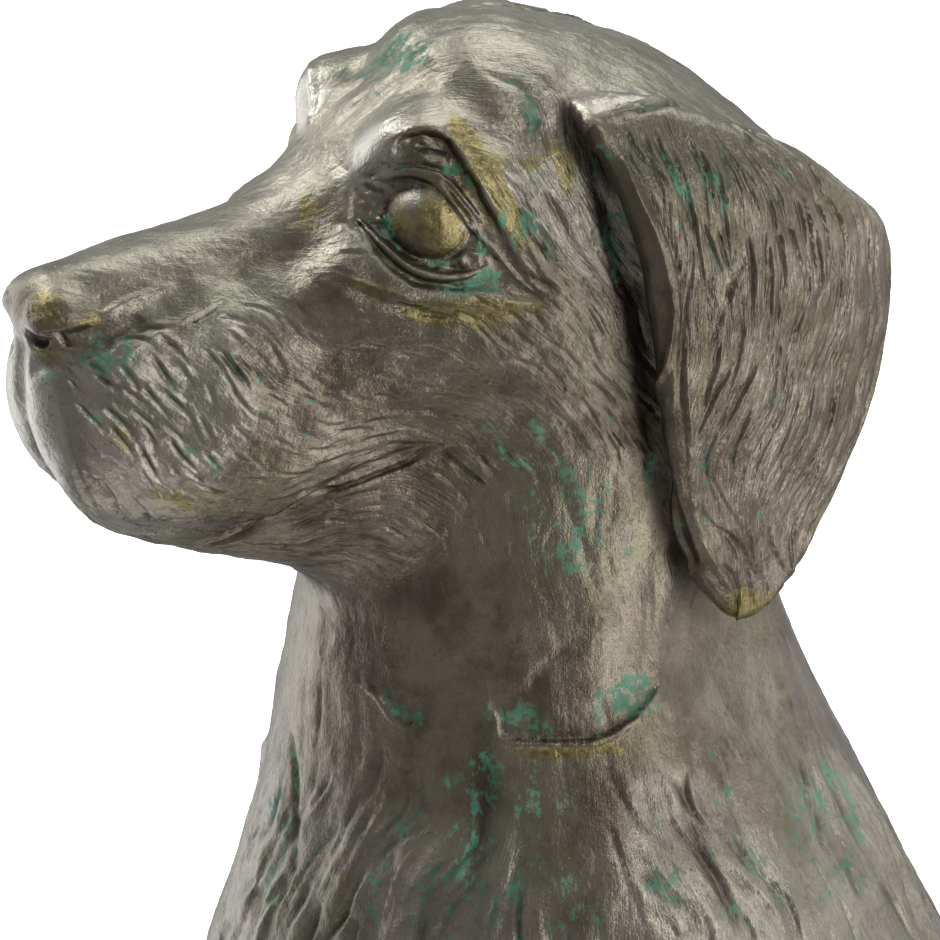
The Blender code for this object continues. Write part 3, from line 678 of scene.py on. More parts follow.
NECK_FLOW = [
    (-47, -48, 115, 2, -2, -9, NECK_K), (-23, -59, 117, 2, -2, -9, NECK_K), (-2, -60, 120, 2, -2, -9, NECK_K), (14, -56, 123, 2, -1, -9, NECK_K), (25, -49, 129, 1, -1, -9, NECK_K),
    (32, -42, 130, 0, -2, -9, NECK_K), (37, -40, 107, -2, -6, -7, NECK_K), (45, -23, 104, 1, -6, -6, NECK_K), (56, 5, 97, 4, 0, -8, NECK_K), (67, 13, 71, 4, 0, -8, NECK_K),
    (-56, -41, 90, 0, -2, -9, NECK_K), (-60, -41, 68, -3, 1, -9, NECK_K), (-67, -40, 42, -3, 1, -8, TUFT), (-36, -58, 86, 0, -1, -9, NECK_K), (-21, -65, 80, -1, -1, -9, NECK_K),
    (-3, -64, 98, 0, -1, -9, NECK_K), (-4, -68, 70, -1, -1, -9, NECK_K), (19, -62, 87, 0, -2, -9, NECK_K), (35, -50, 92, 2, -2, -9, NECK_K), (47, -37, 88, 3, -2, -8, NECK_K),
    (60, -29, 73, 4, -1, -8, NECK_K), (77, -5, 55, 4, 0, -8, TUFT), (20, -67, 63, -2, -2, -8, NECK_K), (29, -63, 65, 1, -2, -9, NECK_K), (6, -70, 59, -3, -1, -8, TUFT),
    (-15, -69, 61, -5, 0, -7, TUFT), (41, -58, 62, 4, 0, -8, TUFT), (53, -49, 60, 5, 1, -7, TUFT), (-38, -62, 52, -5, 2, -7, TUFT),
    (10, -76, 30, -1, -1, -9, TUFT), (45, -66, 30, 3, -1, -8, TUFT), (80, -40, 30, 4, 0, -8, TUFT), (96, 0, 25, 4, 0, -8, TUFT), (-40, -72, 25, -3, 0, -8, TUFT),
    (85, 45, 30, 3, 3, -8, NECK_K), (40, 76, 40, 1, 2, -9, NECK_K), (-20, 76, 40, -1, 2, -9, NECK_K), (-70, 58, 40, -3, 2, -8, NECK_K), (-92, 5, 35, -3, 0, -8, NECK_K),
    (50, 40, 115, 2, 1, -9, NECK_K), (0, 56, 125, 0, 1, -9, NECK_K), (-50, 38, 120, -1, 1, -9, NECK_K), (-64, -5, 110, -1, 0, -9, NECK_K), (66, 20, 75, 4, 1, -8, NECK_K)]
# strokes: length, gap, depth, half width, raised edge; then the brushed relief: fine height, coarse height, coarse period (mm)
STYLE = {BRIDGE: (9, 4.5, 0.10, 0.5, 0.0, 0.06, 0.18, 5.0), CROWN_K: (16, 3.4, 0.18, 0.5, 0.0, 0.11, 0.26, 3.4), TEMPLE: (15, 3.2, 0.34, 0.55, 0.08, 0.14, 0.48, 3.4),
         LIP: (11, 5.4, 0.75, 0.50, 0.42, 0.11, 0.68, 5.0), CHEEK: (11, 5.0, 0.36, 0.52, 0.20, 0.12, 0.56, 5.0), JAW: (18, 3.4, 0.50, 0.55, 0.12, 0.10, 0.44, 3.4),
         EAR_UP: (24, 3.4, 0.60, 0.45, 0.30, 0.18, 0.65, 4.2), EAR_LOW: (32, 4.0, 0.55, 0.46, 0.30, 0.26, 0.90, 4.2), NECK_K: (18, 8.0, 0.22, 0.6, 0.05, 0.04, 0.60, 8.0),
         TUFT: (28, 7.0, 0.45, 0.8, 0.30, 0.07, 1.60, 5.0), BACK_K: (14, 4.0, 0.28, 0.65, 0.05, 0.10, 0.40, 5.0)}


def unit(a):
    return a / np.maximum(np.linalg.norm(a, axis=-1, keepdims=True), 1e-9)


HEAD_G, EAR_G, NECK_G = (np.array(g, float) for g in (HEAD_FLOW, EAR_FLOW, NECK_FLOW))
leaf_gap, LEAF_EDGE = np.full(len(POINTS), 99.0), np.full(len(POINTS), 99.0)
sel = np.flatnonzero((HEAD_ABS[:, 0] < -28) & (HEAD_ABS[:, 1] > 20) & (HEAD_ABS[:, 2] > -118) & (HEAD_ABS[:, 0] > -122))
leaf_gap[sel] = ear(HEAD_ABS[sel])[0]
LEAF_EDGE[sel] = np.where(leaf_gap[sel] < 1.5, -inside_loop(HEAD_ABS[sel][:, 0], HEAD_ABS[sel][:, 2], RIM), 99.0)
IS_EAR = (leaf_gap < 0.9) & ((HEAD_ABS[:, 2] < -2) | (HEAD_ABS[:, 1] > np.interp(HEAD_ABS[:, 0], (-92, -84, -75, -64.8, -50.6, -38.4), (27, 34, 38, 39, 45.2, 46))))
IS_NECK = ~IS_EAR & (neck_field(POINTS) < head_field(HEAD_PTS, False)[0].d)
LEAF_GAP = leaf_gap


def kind_of(points, head_abs, ear_mask, neck_mask):
    out = np.zeros(len(points), int)
    for mask, g, at in ((ear_mask, EAR_G, head_abs), (neck_mask, NECK_G, points), (~ear_mask & ~neck_mask, HEAD_G, head_abs)):
        idx = np.flatnonzero(mask)
        for k in range(0, len(idx), 50000):
            part = idx[k:k + 50000]
            d = ((at[part][:, None] - g[None, :, :3]) ** 2).sum(-1)
            out[part] = g[d.argmin(1), 6].astype(int)
    return out


KIND = kind_of(POINTS, HEAD_ABS, IS_EAR, IS_NECK)


def run_at(idx):
    """Run of the coat at vertices, in world axes, lying in the surface."""
    out = np.zeros((len(idx), 3))
    for mask, g, at, head in ((IS_EAR[idx], EAR_G, HEAD_ABS[idx], True), (IS_NECK[idx], NECK_G, POINTS[idx], False), (~(IS_EAR | IS_NECK)[idx], HEAD_G, HEAD_ABS[idx], True)):
        j = np.flatnonzero(mask)
        if not len(j):
            continue
        w = 1 / (((at[j][:, None] - g[None, :, :3]) ** 2).sum(-1) + 6.0) ** 2
        d = w @ unit(g[:, 3:6])
        if head:
            d[:, 1] *= MIRROR[idx[j]]
            d = d @ HEAD
        out[j] = d
    n = NORMALS[idx]
    wave = 0.9 * (noise(POINTS[idx], 13.0, 21) - 0.5)
    out = unit(out - (out * n).sum(1, keepdims=True) * n)
    return unit(out + wave[:, None] * np.cross(n, out))


def edges_of(quads, fans):
    e = np.concatenate([quads[:, [0, 1]], quads[:, [1, 2]], quads[:, [2, 3]], quads[:, [3, 0]]] + ([np.array([(r[k], r[k - 1]) for r in fans for k in range(len(r))])] if fans else []))
    e = np.sort(e, 1)
    e = np.unique(e[:, 0] * len(POINTS) + e[:, 1])
    return e // len(POINTS), e % len(POINTS)


EDGE_I, EDGE_J = edges_of(QUADS, FANS)
RUN = np.concatenate([run_at(np.arange(k, min(k + 40000, len(POINTS)))) for k in range(0, len(POINTS), 40000)])


def soft_map(values, rounds=14):
    """Spreads per-vertex values over their neighbours."""
    n = len(values)
    deg = np.bincount(EDGE_I, minlength=n) + np.bincount(EDGE_J, minlength=n)
    for _ in range(rounds):
        values = 0.5 * values + 0.5 * (np.bincount(EDGE_J, values[EDGE_I], n) + np.bincount(EDGE_I, values[EDGE_J], n)) / deg
    return values


# The numbers that grow across the coat can't close up round the neck, the muzzle or an ear's leaf, so the surface is parted
# where that doesn't show: along the outline seen from in front, round each ear and where the coat turns sharply.
SIGHT = np.array([0.29, -0.89, 0.34])
part = (soft_map(NORMALS @ SIGHT, 40) > -0.1) * 1
part = np.where(IS_EAR, 2 + 2 * (MIRROR < 0) + (soft_map(HEAD_NRM[:, 1] * MIRROR, 10) > 0.1), part)


def clusters(size):
    """Small patches of surface: vertices of one cell and one part that face roughly one way."""
    i = np.floor(POINTS / size).astype(np.int64) + 64
    face = (NORMALS[:, 0] > 0) * 1 + (NORMALS[:, 1] > 0) * 2 + (NORMALS[:, 2] > 0) * 4
    _, label = np.unique((((i[:, 0] * 128 + i[:, 1]) * 128 + i[:, 2]) * 8 + face) * 16 + part, return_inverse=True)
    return label


def lay_out(directions, weight, rounds=140, size=9.0):
    """For each direction field, a number over the surface that grows by one a millimetre along it, as nearly as can be:
    first over patches, all at once, then vertex by vertex."""
    n, label = len(POINTS), clusters(size)
    m = label.max() + 1
    count = np.bincount(label, minlength=m)
    centre = np.stack([np.bincount(label, POINTS[:, k], m) / count for k in range(3)], 1)
    ci, cj = label[EDGE_I], label[EDGE_J]
    far = ci != cj
    lap = np.bincount(np.concatenate([ci[far] * m + ci[far], cj[far] * m + cj[far], ci[far] * m + cj[far], cj[far] * m + ci[far]]),
                      np.concatenate([weight[far], weight[far], -weight[far], -weight[far]]), m * m).reshape(m, m)
    lap[np.arange(m), np.arange(m)] += 1e-3
    steps, local, rhs = [], [], []
    for direction in directions:
        d = unit(direction[EDGE_I] + direction[EDGE_J])
        g = ((POINTS[EDGE_J] - POINTS[EDGE_I]) * d).sum(1)
        mean = unit(np.stack([np.bincount(label, direction[:, k], m) for k in range(3)], 1))
        l = ((POINTS - centre[label]) * mean[label]).sum(1)
        gap = weight * (g - (l[EDGE_J] - l[EDGE_I]))
        rhs.append(np.bincount(cj[far], gap[far], m) - np.bincount(ci[far], gap[far], m))
        steps.append(g)
        local.append(l)
    coarse = np.linalg.solve(lap, np.stack(rhs, 1))
    diag = np.maximum(np.bincount(EDGE_J, weight, n) + np.bincount(EDGE_I, weight, n), 1e-6)

    def spread(x):
        w = weight * x
        return np.bincount(EDGE_J, w, n) - np.bincount(EDGE_I, w, n)
    out = []
    for k, g in enumerate(steps):
        x = coarse[label, k] + local[k]
        r = spread(g - (x[EDGE_J] - x[EDGE_I]))
        z = r / diag
        p, rz = z.copy(), (r * z).sum()
        for _ in range(rounds):
            ap = spread(p[EDGE_J] - p[EDGE_I])
            alpha = rz / max((p * ap).sum(), 1e-12)
            x += alpha * p
            r -= alpha * ap
            z = r / diag
            new = (r * z).sum()
            p = z + new / rz * p
            rz = new
        out.append(x)
    return out


tie = step(((RUN[EDGE_I] * RUN[EDGE_J]).sum(1) - 0.75) / 0.2) * (part[EDGE_I] == part[EDGE_J])
ALONG, ACROSS = lay_out((RUN, np.cross(NORMALS, RUN)), tie)


class Buckets:
    def __init__(self, p, cell=3.0):
        self.cell, self.lo = cell, p.min(0) - 2 * cell
        i = ((p - self.lo) / cell).astype(int)
        self.dims = i.max(0) + 4
        key = (i[:, 0] * self.dims[1] + i[:, 1]) * self.dims[2] + i[:, 2]
        self.order = np.argsort(key, kind="stable")
        self.start = np.searchsorted(key[self.order], np.arange(np.prod(self.dims) + 1))

    def pairs(self, mid, reach):
        """Index pairs (middle, vertex) for everything in the cells around each middle."""
        c = ((mid - self.lo) / self.cell).astype(int)
        k = int(np.ceil(reach / self.cell))
        a, b = [], []
        for dx in range(-k, k + 1):
            for dy in range(-k, k + 1):
                x, y = np.clip(c[:, 0] + dx, 0, self.dims[0] - 1), np.clip(c[:, 1] + dy, 0, self.dims[1] - 1)
                base = (x * self.dims[1] + y) * self.dims[2]
                s = self.start[base + np.clip(c[:, 2] - k, 0, self.dims[2] - 1)]
                n = self.start[base + np.clip(c[:, 2] + k + 1, 0, self.dims[2] - 1)] - s
                a.append(np.repeat(np.arange(len(mid)), n))
                b.append(self.order[np.repeat(s - np.concatenate([[0], np.cumsum(n)[:-1]]), n) + np.arange(n.sum())])
        return np.concatenate(a), np.concatenate(b)


BUCKETS = Buckets(POINTS)
CUT, RAISE = np.zeros(len(POINTS)), np.zeros(len(POINTS))


def carve(a, b, na, ta, tb, depth, width, raised, reach=3.4, into=None, up=None):
    """Cuts segments a-b into the surface; ta and tb are the shares of the depth at their ends."""
    into = CUT if into is None else into
    up = RAISE if up is None else up
    half = 0.5 * np.linalg.norm(b - a, axis=1).max()
    for k in range(0, len(a), 6000):
        s = slice(k, k + 6000)
        A, B, N, W = a[s], b[s], na[s], width[s]
        i, v = BUCKETS.pairs(0.5 * (A + B), half + reach * W.max())
        ab = (B - A)[i]
        pa = POINTS[v] - A[i]
        t = np.clip((pa * ab).sum(1) / np.maximum((ab * ab).sum(1), 1e-9), 0, 1)
        e = pa - t[:, None] * ab
        flat = np.linalg.norm(e, axis=1)
        ok = (flat < reach * W[i]) & ((NORMALS[v] * N[i]).sum(1) > 0.1)
        i, v, t, e, flat, ab = i[ok], v[ok], t[ok], e[ok], flat[ok], ab[ok]
        share = ta[s][i] * (1 - t) + tb[s][i] * t
        side = np.sign((e * np.cross(N[i], ab)).sum(1))
        x = flat / W[i]
        np.minimum.at(into, v, -depth[s][i] * share * np.exp(-x * x))
        np.maximum.at(up, v, raised[s][i] * share * np.exp(-((x - 1.9) / 1.3) ** 2) * np.where(side > 0, 1.0, 0.0))


def strokes(mask, allowed, length, gap, depth, width, raised, seed):
    """Seeds strokes over a region, spread evenly across and along the run, and cuts them."""
    r = np.random.default_rng(seed)
    idx = np.flatnonzero(mask)
    if not len(idx):
        return 0
    idx = r.permutation(idx)[:max(400, int(len(idx) * 0.16))]
    d = run_at(idx)
    long_r = 0.42 * length
    cell = max(long_r, gap)
    where, kept = {}, []
    P = POINTS[idx]
    keys = np.floor(P / cell).astype(int).tolist()
    pl, dl = P.tolist(), d.tolist()
    for k in range(len(idx)):
        x, y, z = pl[k]
        ax, ay, az = dl[k]
        cx, cy, cz = keys[k]
        ok = True
        for i in (cx - 1, cx, cx + 1):
            for j in (cy - 1, cy, cy + 1):
                for m in (cz - 1, cz, cz + 1):
                    for (qx, qy, qz) in where.get((i, j, m), ()):
                        vx, vy, vz = qx - x, qy - y, qz - z
                        al = vx * ax + vy * ay + vz * az
                        la = vx * vx + vy * vy + vz * vz - al * al
                        if al * al / (long_r * long_r) + la / (gap * gap) < 1:
                            ok = False
                            break
                    if not ok:
                        break
                if not ok:
                    break
            if not ok:
                break
        if ok:
            where.setdefault((cx, cy, cz), []).append((x, y, z))
            kept.append(k)
    kept = np.array(kept)
    n = len(kept)
    size = length * r.uniform(0.55, 1.25, n)
    segs = max(3, int(np.ceil(length * 1.25 / 2.6)))
    path = np.zeros((n, segs + 1), int)
    path[:, 0] = idx[kept]
    run = run_at(path[:, 0])
    turn = r.normal(0, 0.10, n)
    line = np.zeros((n, segs + 1, 3))
    line[:, 0] = POINTS[path[:, 0]] - run * (size * 0.4)[:, None]
    line[:, 0] = snap(line[:, 0])[0]
    for k in range(segs):
        at, vi = snap(line[:, k])
        path[:, k] = vi
        run = run_at(vi)
        nn = NORMALS[vi]
        run = unit(run + turn[:, None] * np.cross(nn, run))
        line[:, k + 1] = at + run * (size / segs)[:, None]
        line[:, k] = at
    line[:, segs], path[:, segs] = snap(line[:, segs])
    inside = allowed[path]                                       # strokes end where the surface stays smooth
    t = np.linspace(0, 1, segs + 1)
    taper = np.minimum(step((t + 0.08) / 0.22), 1) * (1 - 0.75 * step((t - 0.35) / 0.65)) * (1 - step((t - 0.93) / 0.1))
    share = taper[None] * inside
    deep = depth * r.uniform(0.45, 1.25, n) * np.where(r.random(n) < 0.1, 1.5, 1.0)
    wide = width * r.uniform(0.8, 1.25, n)
    a, b = line[:, :-1].reshape(-1, 3), line[:, 1:].reshape(-1, 3)
    rep = np.repeat
    carve(a, b, NORMALS[path[:, :-1].reshape(-1)], share[:, :-1].reshape(-1), share[:, 1:].reshape(-1), rep(deep, segs), rep(wide, segs), rep(deep * raised / depth, segs))
    return n


TREE_IDX = np.arange(0, len(POINTS), 2)
TREE = KDTree(len(TREE_IDX))
for k, co in zip(TREE_IDX.tolist(), POINTS[TREE_IDX].tolist()):
    TREE.insert(co, k)
TREE.balance()


def snap(p):
    found = [TREE.find(c) for c in p.tolist()]
    idx = np.array([f[1] for f in found])
    at = POINTS[idx]
    n = NORMALS[idx]
    return p - ((p - at) * n).sum(1, keepdims=True) * n, idx


DEEP, LIFT = np.zeros(len(POINTS)), np.zeros(len(POINTS))


def around(points, radius, head, side):
    """Vertices near a line on the surface: index, distance, signed distance (plus to the left of the run) and place along it."""
    p = np.asarray(points, float) * ((1, side, 1) if head else 1)
    q = snap(catmull(to_world(p) if head else p, 5))[0]
    idx = np.flatnonzero(((POINTS > q.min(0) - radius) & (POINTS < q.max(0) + radius)).all(1))
    x, n = POINTS[idx], NORMALS[idx]
    best, sgn, along = np.full(len(idx), 1e9), np.zeros(len(idx)), np.zeros(len(idx))
    m = len(q) - 1
    for k in range(m):
        ab = q[k + 1] - q[k]
        t = np.clip((x - q[k]) @ ab / max(ab @ ab, 1e-9), 0, 1)
        e = x - q[k] - t[:, None] * ab
        d = np.linalg.norm(e, axis=1)
        s = d < best
        best[s], sgn[s], along[s] = d[s], np.sign((e * np.cross(n, ab)).sum(1))[s] * side, ((k + t) / m)[s]
    s = best < radius
    return idx[s], best[s], (best * sgn)[s], along[s]


def named(points, depth, width, lip=0.0, head=True, both=True, blunt=0.0, far=0.0):
    """One groove (ridge, with a minus depth) along a line; lip raises its left bank, a minus lip its right one."""
    for side in ((1, -1) if head and both else (1,)):
        i, d, s, t = around(points, 4.0 * width, head, side)
        share = blunt + (1 - blunt) * np.sin(np.pi * t) ** 0.6
        wobble = 0.75 + 0.5 * noise(POINTS[i], 2.6, 41)
        if depth > 0:
            DEEP[i] = np.minimum(DEEP[i], -depth * share * wobble * np.exp(-(d / width) ** 2))
        else:
            LIFT[i] = np.maximum(LIFT[i], -depth * share * wobble * np.exp(-(d / width) ** 2))
        if lip:
            LIFT[i] = np.maximum(LIFT[i], abs(lip) * share * np.exp(-((s * np.sign(lip) - 1.7 * width) / width) ** 2) * (s * lip > 0))


def shelf(points, drop, spread, lip, lip_width=1.2, head=False, both=False):
    """A fold: the left bank sinks towards the line, the right bank stands over it as a rounded lip."""
    for side in ((1, -1) if head and both else (1,)):
        i, d, s, t = around(points, 3.2 * spread, head, side)
        share = np.sin(np.pi * t) ** 0.7
        wobble = 0.7 + 0.6 * noise(POINTS[i], 3.0, 42)
        SHELF[i] += share * wobble * np.where(s > -0.2, -drop * np.exp(-np.maximum(s, 0) / spread) * step((s + 0.4) / 0.7), lip * np.exp(-((s + 1.1) / lip_width) ** 2))


SHELF = np.zeros(len(POINTS))
MOUTH_LINE = [(48.8, 11.7, -90), (43.7, 18.3, -86.1), (38.7, 28, -78.4), (32.8, 32.3, -73.6), (25.8, 34.1, -70.9), (17.2, 35, -68.6), (8.3, 35.7, -66.1), (2.5, 37.1, -63.7), (-1.1, 38.4, -62.7)]


# regions that stay smooth: the eye, the nostril, the ear's lobe and rims
eye_p = HEAD_ABS - EYE_AT
eu, ev, ew = eye_p @ EYE_U, eye_p @ EYE_V, eye_p @ EYE_W
IN_EYE = (np.abs(ew) < 18) & (eu > -30) & (eu < 34) & (ev > -26) & (ev < 30)
hood_gap = np.full(len(POINTS), 50.0)
hood_gap[IN_EYE] = look_up(EYE_HOOD, eu[IN_EYE], ev[IN_EYE])
brow_gap = np.sqrt((((HEAD_ABS - (10.5, 20, 7.5)) / (9, 8, 9)) ** 2).sum(1))            # the smooth bulge over the inner corner
front_in = HEAD_ABS[:, 0] - 85.0 - 0.10 * (HEAD_ABS[:, 2] + 50)
lip_front = (front_in > -1) & (HEAD_ABS[:, 2] < -34)                                           # the bare band in front of the flews
nose_bare = (HEAD_ABS[:, 0] > 72) & (HEAD_ABS[:, 2] > -35)
mouth_gap = np.full(len(POINTS), 9.0)
for side in (1, -1):
    i, d, _, _ = around(MOUTH_LINE, 4.0, True, side)
    mouth_gap[i] = d
RIM_BAND = IS_EAR & (LEAF_EDGE < 5.0) & (HEAD_ABS[:, 0] > -69) & (HEAD_ABS[:, 2] < 12)
FREE = (hood_gap > 1.5) & (mouth_gap > 2.6) & ~(IS_EAR & (LEAF_EDGE < 7.0) & (HEAD_ABS[:, 0] > -69)) & (POINTS[:, 2] > 1.5) & (brow_gap > 1.0) & ~lip_front & ~nose_bare
for kind, (length, gap, depth, width, raised, *_) in STYLE.items():
    count = strokes(FREE & (KIND == kind), FREE & (IS_EAR if kind in (EAR_UP, EAR_LOW) else ~IS_EAR), length, gap, depth, width, raised, 100 + kind)
    print("strokes", kind, count)

named([(-16.5, 43.5, -2), (-21, 45, -7.5), (-25.5, 48, -14)], 1.0, 1.3)
named([(-15, 42.5, 0.5), (-19.5, 44, -3), (-23.5, 46, -7), (-27.5, 48.5, -12)], -0.7, 1.0)
named([(-16, 46.5, -16.5), (-21.5, 49, -19.5), (-27, 51, -23)], 0.8, 1.1)
named([(19, 20, -8), (16.5, 23.5, -7.5), (13, 28, -8)], 0.8, 0.8)
named([(8, -14, 10), (5, -15, 15), (0, -11, 17.4), (-4.4, 2.4, 23.3), (-9.6, 12.2, 26)], 0.8, 3.0, both=False, blunt=0.2)
named([(5.2, -25.2, 15.7), (7.7, -18.6, 12.9), (9.2, -13.5, 8.7), (12, -10, 4)], -1.1, 1.0, both=False, blunt=0.4)
named([(8, -4, 9.5), (6.3, -2.7, 12.3), (0.4, 1.5, 17.9), (-7.1, 8, 25.1)], -0.6, 2.2, both=False)
named([(-17.5, 22.1, 25), (-24, 26.8, 22.8), (-27.2, 31, 19.5)], 0.6, 0.9)
named([(-27.2, 31, 19.5), (-30, 30, 21.5), (-32.8, 30.1, 22.8)], 0.5, 0.8)
named([(14, 5.5, 4.5), (13, 13.5, 2.0), (12.5, 20, 2.5), (8, 27.5, 13)], 0.3, 1.6)
shelf([(7, 26.5, 15), (-4.5, 28.5, 12.5), (-21.5, 32.5, 15), (-34, 42.5, 18)], -0.35, 3.0, -0.25, 1.6, head=True, both=True)
named([(-24, 27, 23), (-27, 31, 19.5), (-30.5, 35.5, 15)], 0.5, 0.8)
# muzzle: crest from the nose wing to the cheek, the channel under it, the top edge of the flews
named([(83, 14, -27), (76, 15, -25.5), (70, 14.5, -23.5), (62.5, 14.5, -21.5), (57.5, 15, -20.5)], -0.9, 1.2)
named([(84, 15, -30.5), (76, 17.5, -29.5), (66.5, 19, -27), (59, 19, -25)], 0.9, 2.6, blunt=0.2)
named([(90.2, 12.2, -28.9), (86.3, 14.8, -30.3), (81.8, 16, -31.6)], 1.2, 0.8, lip=-0.6)
for k in range(6):
    named([(90.6 - 1.1 * k, 5.4 + 1.4 * k, -24 + 0.3 * k), (91.4 - 1.8 * k, 9.1 + 1.2 * k, -26.8 + 0.25 * k)], 0.4, 0.45)
named([(77, 22, -36), (74, 22.5, -34), (70.5, 22.5, -32), (62.5, 22, -28.5), (53.5, 21, -25.5)], -0.6, 0.9)
named([(88, 15, -45), (87, 18, -51.5), (85, 19.5, -58), (80.5, 17.5, -69.5), (75, 12, -79)], 0.5, 1.0, lip=-0.2)
named([(9, 36.5, -61), (-3.5, 39.5, -62)], 0.8, 0.8)
named([(-1.5, 38.5, -64), (-5, 40, -66.5), (-8.5, 42, -70), (-12, 44, -73)], 0.9, 0.9, lip=0.25)
named([(50, 10, -91), (48.8, 11.7, -90), (43.7, 18.3, -86.1), (38.7, 28, -78.4), (32.8, 32.3, -73.6), (25.8, 34.1, -70.9), (17.2, 35, -68.6), (8.3, 35.7, -66.1), (2.5, 37.1, -63.7), (-1.1, 38.4, -62.7)],
      1.3, 0.7, lip=0.3, blunt=0.3)
named([(48, 20, -83), (43, 26.5, -78.5), (35.5, 30, -77), (21.5, 33.5, -74.5)], 0.6, 0.8)
named([(34.5, 27, -81), (20, 33, -76.5), (6, 35.5, -77.5)], 0.5, 0.8)
named([(31.5, 23, -87.5), (15, 30.5, -85.5), (7, 33, -88.5)], 0.5, 0.8)
# ear: knob at its root, the ledge of the skull over it, the turned front edge with its stippled line, long gouges
named([(-34.5, 45, 18), (-36, 47, 16), (-37, 49.5, 13)], -1.8, 2.0, blunt=0.5)
shelf([(-37, 46.5, 17.5), (-42.8, 45.8, 20.3), (-50.6, 45, 20.9), (-64.8, 38.5, 16.5), (-75, 36.5, 12), (-84, 32.5, 7), (-94, 25.5, 1)], -1.0, 4.5, -1.5, 2.0, head=True, both=True)
named([(-42, 49.5, -6.5), (-45, 54, -17.5), (-46, 58, -35.5), (-47.5, 58.5, -57), (-50, 57.5, -79), (-55, 56, -94)], 0.5, 2.0)
named([(-40, 54, 10), (-41, 59, 3.5), (-44, 63, -5.5), (-46, 66, -15), (-47.5, 66.5, -25), (-47, 65.5, -37), (-47.5, 62.5, -46.5), (-49.5, 61, -64.5), (-53, 60, -83.5), (-62, 60, -100)], -1.0, 0.8, blunt=0.6)
named([(-43, 56, 6), (-45, 61, -1), (-48, 65, -10), (-50, 67, -22), (-50, 66.5, -36), (-50.5, 64, -48), (-52.5, 62.5, -64.5), (-56, 61.5, -82)], 0.7, 0.9, blunt=0.5)
for line in ([(-39, 48, 16.5), (-41.5, 55, 9), (-45, 61.5, 0)], [(-48, 49, 17.5), (-51, 59.5, 5.5), (-55, 66.5, -9.5)], [(-55, 52, 15.5), (-59, 60, 6.5), (-63.5, 65, -4)],
             [(-62.5, 52, 15.5), (-66.5, 60, 7), (-70.5, 65, -3.5)], [(-68.5, 54.5, 13), (-73, 61.5, 4.5), (-78, 65, -5.5)], [(-74.5, 57, 10), (-79.5, 61, 4), (-84, 63, -3.5)],
             [(-66.5, 67.5, -10.5), (-61, 68.5, -23), (-55.5, 68, -37.5)]):
    named(line, 0.5, 0.7, lip=0.25)
named([(-64, 64, -92), (-68, 63, -97), (-70, 62.5, -102.5)], 0.9, 0.8)
# neck: folds of skin, the channel down the chest, hollows and tufts
shelf([(-37, -56.5, 95), (-29, -60, 96), (-23, -63, 91), (-13.5, -65, 89.5)], 1.0, 3.4, 1.1, 0.9)
shelf([(1, -63.5, 98.5), (4, -64, 93.5), (5.5, -64.5, 89.5), (16, -62, 89), (26, -57.5, 89), (33, -51.5, 92.5), (37, -45.5, 97), (38, -42, 102)], 1.3, 5.0, 1.1, 0.9)
named([(8.5, -62.5, 97.5), (14, -59, 106.5), (19, -56, 110.5)], 0.7, 1.5, head=False)
named([(0, -64, 98), (0.5, -66.5, 83.5), (0.5, -69, 66), (0, -72.5, 46)], 1.0, 3.6, head=False, blunt=0.0)
named([(-58, -42.5, 76), (-54.5, -49, 59.5), (-53.5, -53.5, 40)], 0.9, 1.5, head=False)
named([(-13, -68, 68), (-22, -68, 52.5), (-32.5, -67, 36)], -1.8, 4.0, head=False)
named([(35, -62, 60), (43.5, -60, 51.5), (48.5, -58.5, 44)], 0.8, 1.8, head=False)
named([(48, -50, 68), (56.5, -50.5, 51), (63, -50.5, 36)], 0.8, 1.8, head=False)
named([(43, -49, 78), (47.5, -50, 74), (48.5, -49, 67)], 0.9, 1.5, head=False)
named([(-31, -63.5, 66), (-27, -63, 75.5), (-27, -63.5, 83)], 0.7, 1.6, head=False)
named([(67.5, -14, 71), (69, -17.5, 64)], 1.2, 1.5, head=False)
named([(72.5, -17.5, 61), (74, -21, 53)], 1.2, 1.5, head=False)
named([(15.5, -53.5, 152.5), (20, -51, 137), (25, -50, 122)], 0.6, 1.6, head=False)

# brushed relief along the coat, coarse and fine
per_kind = np.zeros((11, 3))
for kind, row in STYLE.items():
    per_kind[kind] = row[5:8]
calm = step((hood_gap - 0.5) / 3.0) * step(POINTS[:, 2] / 3.0) * step((brow_gap - 0.9) / 0.5) * np.where(lip_front, 0.35, 1.0) * step((mouth_gap - 0.6) / 2.2)
calm = calm * (0.35 + 0.65 * step((LEAF_EDGE - 0.5) / 5.0)) * soft_map(1.0 - 0.85 * RIM_BAND, 4)
FINE_H = soft_map(per_kind[KIND][:, 0], 30)
loose = np.zeros(len(POINTS))
loose[EDGE_I[tie < 0.5]] = loose[EDGE_J[tie < 0.5]] = 1.0
SEAM = np.clip(2.5 * soft_map(loose, 16), 0, 1)


def valleys(n):
    return (1 - np.abs(2 * n - 1)) ** 3


